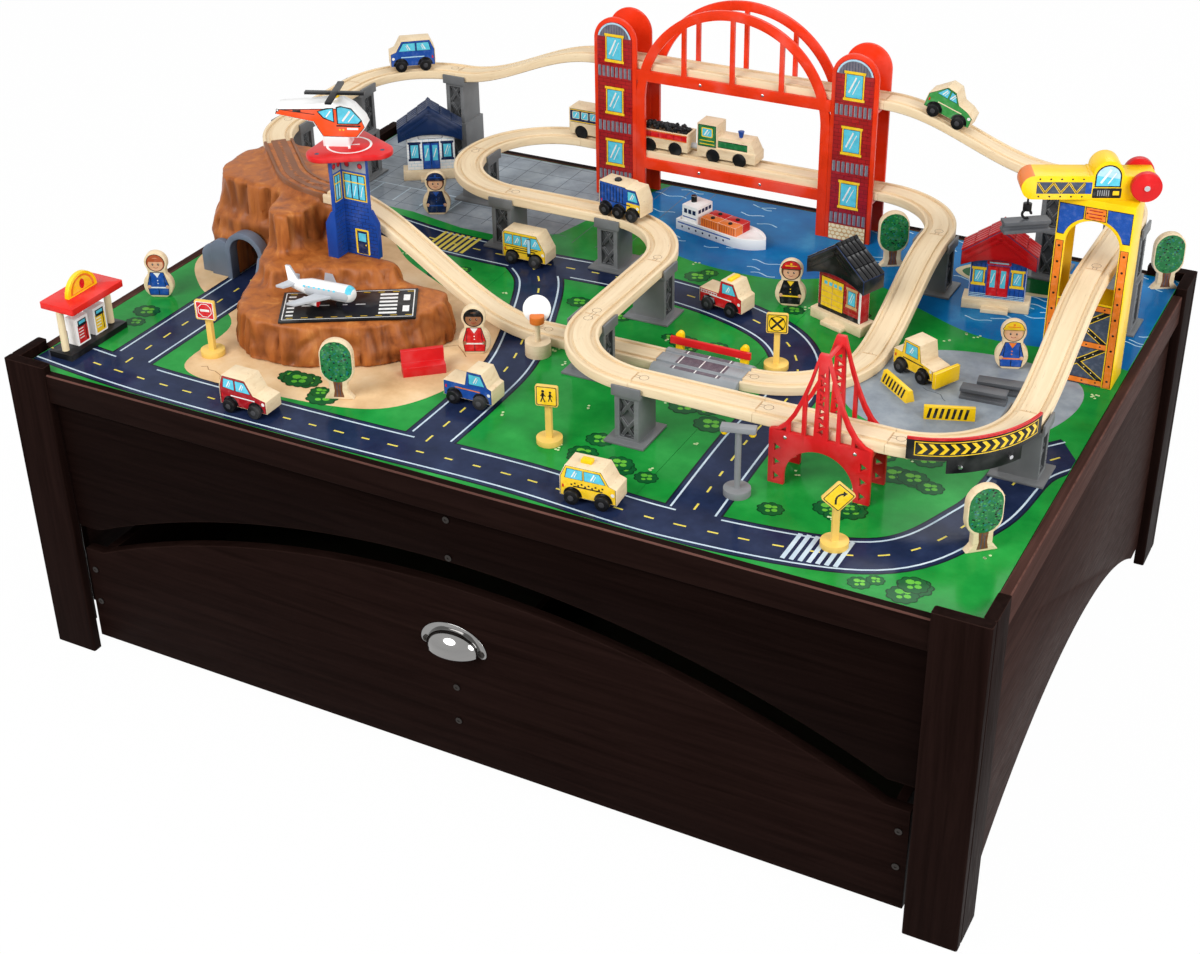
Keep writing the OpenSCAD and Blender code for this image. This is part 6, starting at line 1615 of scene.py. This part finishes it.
def cargoBoat():
    boat = spot(14, 292, 0, -14)
    boatRed = plastic("container red", (0.52, 0.018, 0.016), 0.36)
    boxes = (-16, 14.3)

    def boatRule(x, y, z, n):
        p = inSpot(boat, x, y, z)
        if z > 36.05:
            return 3
        if z > 12.05 and p.x > -33 and abs(p.y) < 16.5 and p.x < 30.5:
            return 1 if p.y < 0 else 2
        return 0

    dress("cargo_boat", [white, containerOrange, boatRed, black], boatRule)
    onSides("boatPrint", boat, 17, [("navy", 1, *repeat(rect(-57, 28, 5.4, 6.4), 3, 7.4)),
                                    ("blue", 1, rect(-50, 19, 24, 1.6))])
    stamp("boatPrint", rightSide(boat, -37), [("navy", 1, *repeat(rect(-11, 29.5, 5.6, 5.4), 4, 7.4))])
    onSides("boatPrint", boat, 23, [("blue", 1, rect(-20, 11, 92, 1.8)),
                                    ("navy", 1, *repeat(disc(-58, 6, 1.6, count=14), 7, 12))])
    ribs = [rib for x in boxes for rib in repeat(rect(x - 12, 18.5, 0.8, 11), 7, 4)]
    onSides("boatPrint", boat, 16.3, [("crimson", 1, *ribs)])
    knobs = [facing(boat, x, s * 8.15, 25, "top") for x in boxes for s in both]
    studs("containerKnobs", black, "toy_black", knobs, 3, 2.4)
    print("cargo boat finished")


# Road vehicles: prints on the two flat sides, hubs on the wheels

vehicle = {"length": 66.0, "height": 38.0, "clear": 7.0, "half": 14.0, "wheel": 8.5, "wheelFace": 20.3,
           "hub": 3.4}
sideViews = {
    "car": [(-0.5, 0), (0.5, 0), (0.5, 0.42), (0.24, 0.52), (0.08, 1), (-0.42, 1), (-0.5, 0.6)],
    "truck": [(-0.5, 0), (0.5, 0), (0.5, 0.5), (0.42, 0.56), (0.3, 1), (0, 1), (-0.06, 0.5), (-0.5, 0.5)],
    "cab": [(-0.5, 0), (0.5, 0), (0.5, 0.5), (0.38, 0.58), (0.24, 1), (-0.4, 1), (-0.5, 0.62)],
    "bus": [(-0.5, 0), (0.5, 0), (0.5, 0.4), (0.3, 1), (-0.46, 1), (-0.5, 0.9)],
    "tank": [(-0.5, 0), (0.5, 0), (0.5, 0.5), (0.4, 0.96), (0.16, 0.96), (0.14, 1), (-0.5, 1)],
    "dozer": [(-0.5, 0), (0.5, 0), (0.5, 0.36), (0.2, 0.44), (0.14, 1), (-0.24, 1), (-0.3, 0.5),
              (-0.5, 0.5)],
    "round": [(-0.5, 0), (0.5, 0), (0.5, 0.36), (0.36, 0.5), (0.16, 0.58), (0, 0.96), (-0.2, 1),
              (-0.4, 0.66), (-0.5, 0.5)],
}
sideWindows = {
    "car": [[(-0.13, 0.56), (0.17, 0.56), (0.06, 0.9), (-0.13, 0.9)],
            [(-0.41, 0.6), (-0.17, 0.56), (-0.17, 0.9), (-0.38, 0.9)]],
    "truck": [[(0.04, 0.56), (0.35, 0.58), (0.27, 0.9), (0.04, 0.9)]],
    "cab": [[(-0.4, 0.6), (-0.1, 0.6), (-0.1, 0.9), (-0.36, 0.9)],
            [(-0.06, 0.6), (0.3, 0.6), (0.2, 0.9), (-0.06, 0.9)]],
    "bus": repeat([(-0.44, 0.52), (-0.27, 0.52), (-0.27, 0.88), (-0.44, 0.88)], 3, 0.2)
           + [[(0.16, 0.5), (0.40, 0.5), (0.29, 0.88), (0.16, 0.88)]],
    "tank": [[(0.2, 0.54), (0.44, 0.54), (0.37, 0.86), (0.2, 0.86)]],
    "dozer": [[(-0.2, 0.52), (0.1, 0.52), (0.08, 0.9), (-0.19, 0.9)]],
    "round": [[(-0.33, 0.64), (-0.12, 0.62), (-0.12, 0.9), (-0.2, 0.92)],
              [(-0.08, 0.62), (0.09, 0.62), (0, 0.86), (-0.08, 0.9)]],
}
sideAxles = {"tank": (-0.324, 0, 0.324)}
taxiSpot, fireSpot = (164, -383, 0, 4), (106, 92, 0, -12)
loaderSpot, tankSpot = (384, 36, 0, -26), (-65.32, 147.61, 75.5, -9)
roadVehicles = [
    ((-285, -386, 0, 0), "car", "crimson", "white"), ((-62, -253, 0, 0), "truck", "blue", "orange"),
    (taxiSpot, "cab", "yellow", "black"), ((-190, 106, 0, 0), "bus", "yellow", "black"),
    (fireSpot, "truck", "red", "white"), (loaderSpot, "dozer", "yellow", "black"),
    ((-520.57, 351.05, 142, 218), "cab", "blue", "paleBlue"),
    ((287, 375, 188.02, 0, 19.85), "round", "leaf", "cream"), (tankSpot, "tank", "blue", "navy"),
]


def vehicleSide(shape):
    return [(a * vehicle["length"], vehicle["clear"] + b * vehicle["height"]) for a, b in shape]


# What a kind of vehicle, or the one at a place, has besides
extraPrints = {
    taxiSpot: [("black", 6, *[rect(-19 + 4 * k, 22.4 + 2 * (k % 2), 2, 2) for k in range(10)])],
    "bus": [("black", 5, rect(-4, 23.6, 50, 1.1), rect(7.5, 26, 5.4, 26), rect(-4, 17, 50, 1.1)),
            ("paleBlue", 6, rect(7.5, 28, 4, 20))],
    "tank": [("navy", 5, *repeat(rect(-30, 31, 1.3, 22), 8, 5)),
             ("yellow", 3, vehicleSide([(0.16, 0.1), (0.48, 0.1), (0.48, 0.46), (0.17, 0.46)]))],
    fireSpot: [("white", 6, *repeat(rect(-18, 24.4, 26, 1), 2, 0, -3),
                *repeat(rect(-30, 22.9, 0.9, 3), 7, 4)),
               ("grey", 6, *repeat(rect(-22, 14, 7, 6), 2, 9))],
}


def roadVehicle(where, kind, color, trim):
    v = vehicle
    place = spot(*where)
    side = vehicleSide(sideViews[kind])
    rows = [("black", 1, inset(side, 0.9)), (color, 2, inset(side, 1.5))]
    for shape in sideWindows[kind]:
        pane = vehicleSide(shape)
        x, z = middleOf(pane)
        rows += [("black", 3, inset(pane, -0.9)), ("cyan", 4, pane),
                 ("white", 5, bar(x - 3, z - 4, x + 1.4, z + 4, 1.5), bar(x, z - 4, x + 3, z + 2.4, 0.8))]
    axles = [a * v["length"] for a in sideAxles.get(kind, (-0.27, 0.27))]
    rows += [("black", 5, *[disc(x, v["wheel"], v["wheel"] + 2.4, start=0, end=180, count=16)
                            for x in axles]),
             ("white", 5, disc(v["length"] / 2 - 4.5, 19, 2.2, count=14)),
             ("red", 5, rect(-v["length"] / 2 + 4, 19, 2, 4)), (trim, 5, rect(0, 20.5, 34, 1.5))]
    rows += extraPrints.get(kind, []) + extraPrints.get(where, [])
    onSides("vehicles", place, v["half"], rows)
    return [facing(place, x, s * v["wheelFace"], v["wheel"], way) for x in axles
            for way, s in (("front", -1), ("back", 1))]


def vehicles():
    loader = spot(*loaderSpot)

    def loaderRule(x, y, z, n):
        near = math.hypot(x - loaderSpot[0], y - loaderSpot[1]) < 60
        return 1 if near and inSpot(loader, x, y, z).x > 33.2 else 0

    dress("vehicle_bodies", [blockWood, yellow], loaderRule, 1.0)
    dress("vehicle_wheels", [black], size=1.0)
    hubs = [hub for row in roadVehicles for hub in roadVehicle(*row)]
    hubGrey = plastic("hub grey", (0.05, 0.05, 0.055), 0.3)
    studs("wheelHubs", hubGrey, "wheel_black", hubs, vehicle["hub"], 0.7)
    studs("loadKnob", black, "toy_black", [facing(spot(*tankSpot), -12, 0, 45, "top")], 5, 3.4)
    bm = bmesh.new()
    addBox(bm, spot(*taxiSpot), (13, 9, 4.4), (-6, 0, 47))
    addBox(bm, spot(*fireSpot), (7, 20, 3.4), (10, 0, 46.4))
    roundEdges(bm, 0.9)
    pieceFrom("roofLamps", bm, [yellow], "table")
    print("road vehicles finished")


# Train on the lower bridge deck

trainSet = {
    "y": 375, "z": 80.5, "engine": -18, "coal": -116, "coach": -225, "half": 15, "hoodHalf": 13,
    "hoodTop": 31, "funnelX": 15.84, "cab": [(-42.5, 15.5), (-15.5, 15.5), (-15.5, 46.5), (-42.5, 46.5)],
}
coachPanes = repeat(roundRect(-28, 28, 10, 9.6, 1.4), 5, 14)
trainPrints = {
    "engine": [
        ("black", 1, inset(trainSet["cab"], -0.4)), ("green", 2, inset(trainSet["cab"], 0.8)),
        ("yellow", 3, roundRect(-29, 36, 17, 14, 2)), ("cyan", 4, roundRect(-29, 36, 14, 11, 1.4)),
        ("white", 5, bar(-33, 32, -28, 40, 1.8), bar(-29, 32, -25.4, 38, 0.9)),
        ("yellow", 3, rect(-29, 24, 22, 1.2), rect(-29, 19, 22, 1.2))],
    "hood": [("green", 1, rect(9, 21, 44, 8.4)), ("black", 2, rect(9, 25.6, 44, 1), rect(9, 16.6, 44, 1))],
    "coal": [
        ("red", 1, rect(0, 20, 76, 10.4)), ("orange", 2, rect(0, 24.4, 76, 1), rect(0, 15.6, 76, 1)),
        ("crimson", 2, *repeat(rect(-30, 20, 1.2, 7), 6, 12))],
    "coach": [
        ("navy", 1, rect(0, 27, 75, 20)), ("yellow", 2, rect(0, 18.4, 75, 1.2), rect(0, 35.6, 75, 1.2)),
        ("cream", 2, *[inset(pane, -0.9) for pane in coachPanes]), ("cyan", 3, *coachPanes),
        ("white", 4, *repeat(bar(-30, 25, -26.4, 31, 1.2), 5, 14))],
}


def coalLumps(rng, place):
    bm = bmesh.new()
    for k in range(110):
        x, y = rng.uniform(-33, 33), rng.uniform(-10, 10)
        z = 22 + 9 * (1 - (abs(y) / 13) ** 2) * min(1, (36 - abs(x)) / 9) + rng.uniform(-1.4, 1.4)
        made = bmesh.ops.create_icosphere(bm, subdivisions=1, radius=1)["verts"]
        size = rng.uniform(2.6, 4.2)
        spin = Matrix.Rotation(rng.uniform(0, 6.28), 3, (rng.random(), rng.random(), 1))
        for v in made:
            v.co = spin @ (v.co * size * rng.uniform(0.78, 1.12))
            v.co = place @ ((v.co + Vector((x, y, z))) * mm)
    coal = plastic("coal", (0.010, 0.010, 0.011), 0.42)
    pieceFrom("coalLumps", bm, [coal], "train", smooth=False)


def train():
    t = trainSet
    cars = ("engine", "coal", "coach")
    engine, coal, coach = (spot(t[k], t["y"], t["z"]) for k in cars)

    def trainRule(x, y, z, n):
        p = inSpot(engine, x, y, z)
        if p.z > t["hoodTop"] + 0.4 and math.hypot(p.x - t["funnelX"], p.y) < 5:
            return 1
        gap = -78 < x < -61 or -187 < x < -154
        return 2 if gap and abs(p.y) < 4.4 and 2 < p.z < 12 and abs(n.x) < 0.5 else 0

    dress("train_bodies", [blockWood, blue, wingGrey], trainRule, 0.9, "train")
    for body in [f"{car}_{end}" for car in cars for end in ("front", "rear")]:
        dress(body + "_axle", [black], size=0.7, body=body)
    onSides("enginePrint", engine, t["half"], trainPrints["engine"], "train")
    onSides("enginePrint", engine, t["hoodHalf"], trainPrints["hood"], "train")
    onSides("coalPrint", coal, t["half"], trainPrints["coal"], "train")
    coalLumps(random.Random(3), coal)
    onSides("coachPrint", coach, t["half"], trainPrints["coach"], "train")
    print("train finished")


# Stage, lights and camera

studio = {
    "key": ((-0.9, -2.3, 2.3), 1.8, 66), "fill": ((2.5, -0.9, 1.7), 1.7, 52),
    "rim": ((0.2, 2.0, 2.6), 1.6, 22),
    "world": 0.46, "floorWhite": 0.985, "floorTones": [(0.3, (0.80, 0.80, 0.80)), (0.7, (0.84, 0.84, 0.84))],
    "light": (1, 1, 1, 1), "aim": (0, 0, 0.4),
}


def addLamp(name, where, size, power):
    lamp = bpy.data.lights.new(name, "AREA")
    lamp.shape = "DISK"
    lamp.size = size
    lamp.energy = power
    obj = bpy.data.objects.new(name, lamp)
    bpy.context.scene.collection.objects.link(obj)
    obj.location = where
    obj.rotation_euler = (Vector(studio["aim"]) - Vector(where)).to_track_quat("-Z", "Y").to_euler()


# Camera, glossy and transmission rays all see the white background
def seenRays(tree):
    paths = addNode(tree, "LightPath").outputs
    total = paths["Is Camera Ray"]
    for name in ("Is Glossy Ray", "Is Transmission Ray"):
        total = addNode(tree, "Math", {0: total, 1: paths[name]}, operation="MAXIMUM").outputs["Value"]
    return total


def paleFloor():
    mat, tree = startMaterial("pale floor")
    tone = ramp(noiseAt(stretched(tree), 14, 3), studio["floorTones"])
    shader = tree.nodes["Principled BSDF"]
    feed(shader, {"Base Color": tone, "Roughness": 0.7, "Specular IOR Level": 0.1})
    glow = addNode(tree, "Emission", {"Color": studio["light"], "Strength": 1.0}).outputs["Emission"]
    seen = {0: seenRays(tree), 1: studio["floorWhite"]}
    share = addNode(tree, "Math", seen, operation="MULTIPLY").outputs["Value"]
    mixed = addNode(tree, "MixShader", {"Fac": share, 1: shader.outputs["BSDF"], 2: glow}).outputs["Shader"]
    feed(tree.nodes["Material Output"], {"Surface": mixed})
    return mat


def stageAndLight():
    bm = bmesh.new()
    bmesh.ops.create_grid(bm, x_segments=8, y_segments=8, size=9)
    mesh = bpy.data.meshes.new("floor")
    bm.to_mesh(mesh)
    bm.free()
    floor = bpy.data.objects.new("floor", mesh)
    bpy.context.scene.collection.objects.link(floor)
    mesh.materials.append(paleFloor())
    world = bpy.data.worlds.new("studio")
    bpy.context.scene.world = world
    world.use_nodes = True
    sky = world.node_tree
    sky.nodes.clear()
    soft, plain = (addNode(sky, "Background",
                           {"Color": studio["light"], "Strength": power}).outputs["Background"]
                   for power in (studio["world"], 1.0))
    either = addNode(sky, "MixShader", {"Fac": seenRays(sky), 1: soft, 2: plain}).outputs["Shader"]
    addNode(sky, "OutputWorld", {"Surface": either})
    for name in ("key", "fill", "rim"):
        addLamp(name, *studio[name])
    bpy.context.scene.view_settings.view_transform = "Standard"
    print("stage and lights set")


photoCamera = {
    "place": (0.975200, -1.883332, 1.502247), "azimuth": 28.4169, "elevation": 30.6050, "roll": -1.1245,
    "lens": 56.772, "shift": (0.00907, -0.03366),
}


def addCamera():
    c = photoCamera
    az, el, ro = (math.radians(c[k]) for k in ("azimuth", "elevation", "roll"))
    right = Vector((math.cos(az), math.sin(az), 0))
    behind = Vector((math.sin(az) * math.cos(el), -math.cos(az) * math.cos(el), math.sin(el)))
    up = behind.cross(right)
    right, up = math.cos(ro) * right + math.sin(ro) * up, math.cos(ro) * up - math.sin(ro) * right
    cam = bpy.data.cameras.new("photo camera")
    cam.sensor_fit = "HORIZONTAL"
    cam.sensor_width = 36
    cam.lens = c["lens"]
    cam.shift_x, cam.shift_y = c["shift"]
    obj = bpy.data.objects.new("photo camera", cam)
    bpy.context.scene.collection.objects.link(obj)
    turn = Matrix((right, up, behind)).transposed().to_4x4()
    obj.matrix_world = Matrix.Translation(c["place"]) @ turn
    bpy.context.scene.camera = obj


addCamera()
stageAndLight()
tableFrame()
trackLayout()
piers()
playBoard()
mountain()
levelCrossing()
airfield()
bridges()
curveGuard()
craneSet()
houses()
woodenToys()
streetPieces()
cargoBoat()
vehicles()
train()
printPieces()
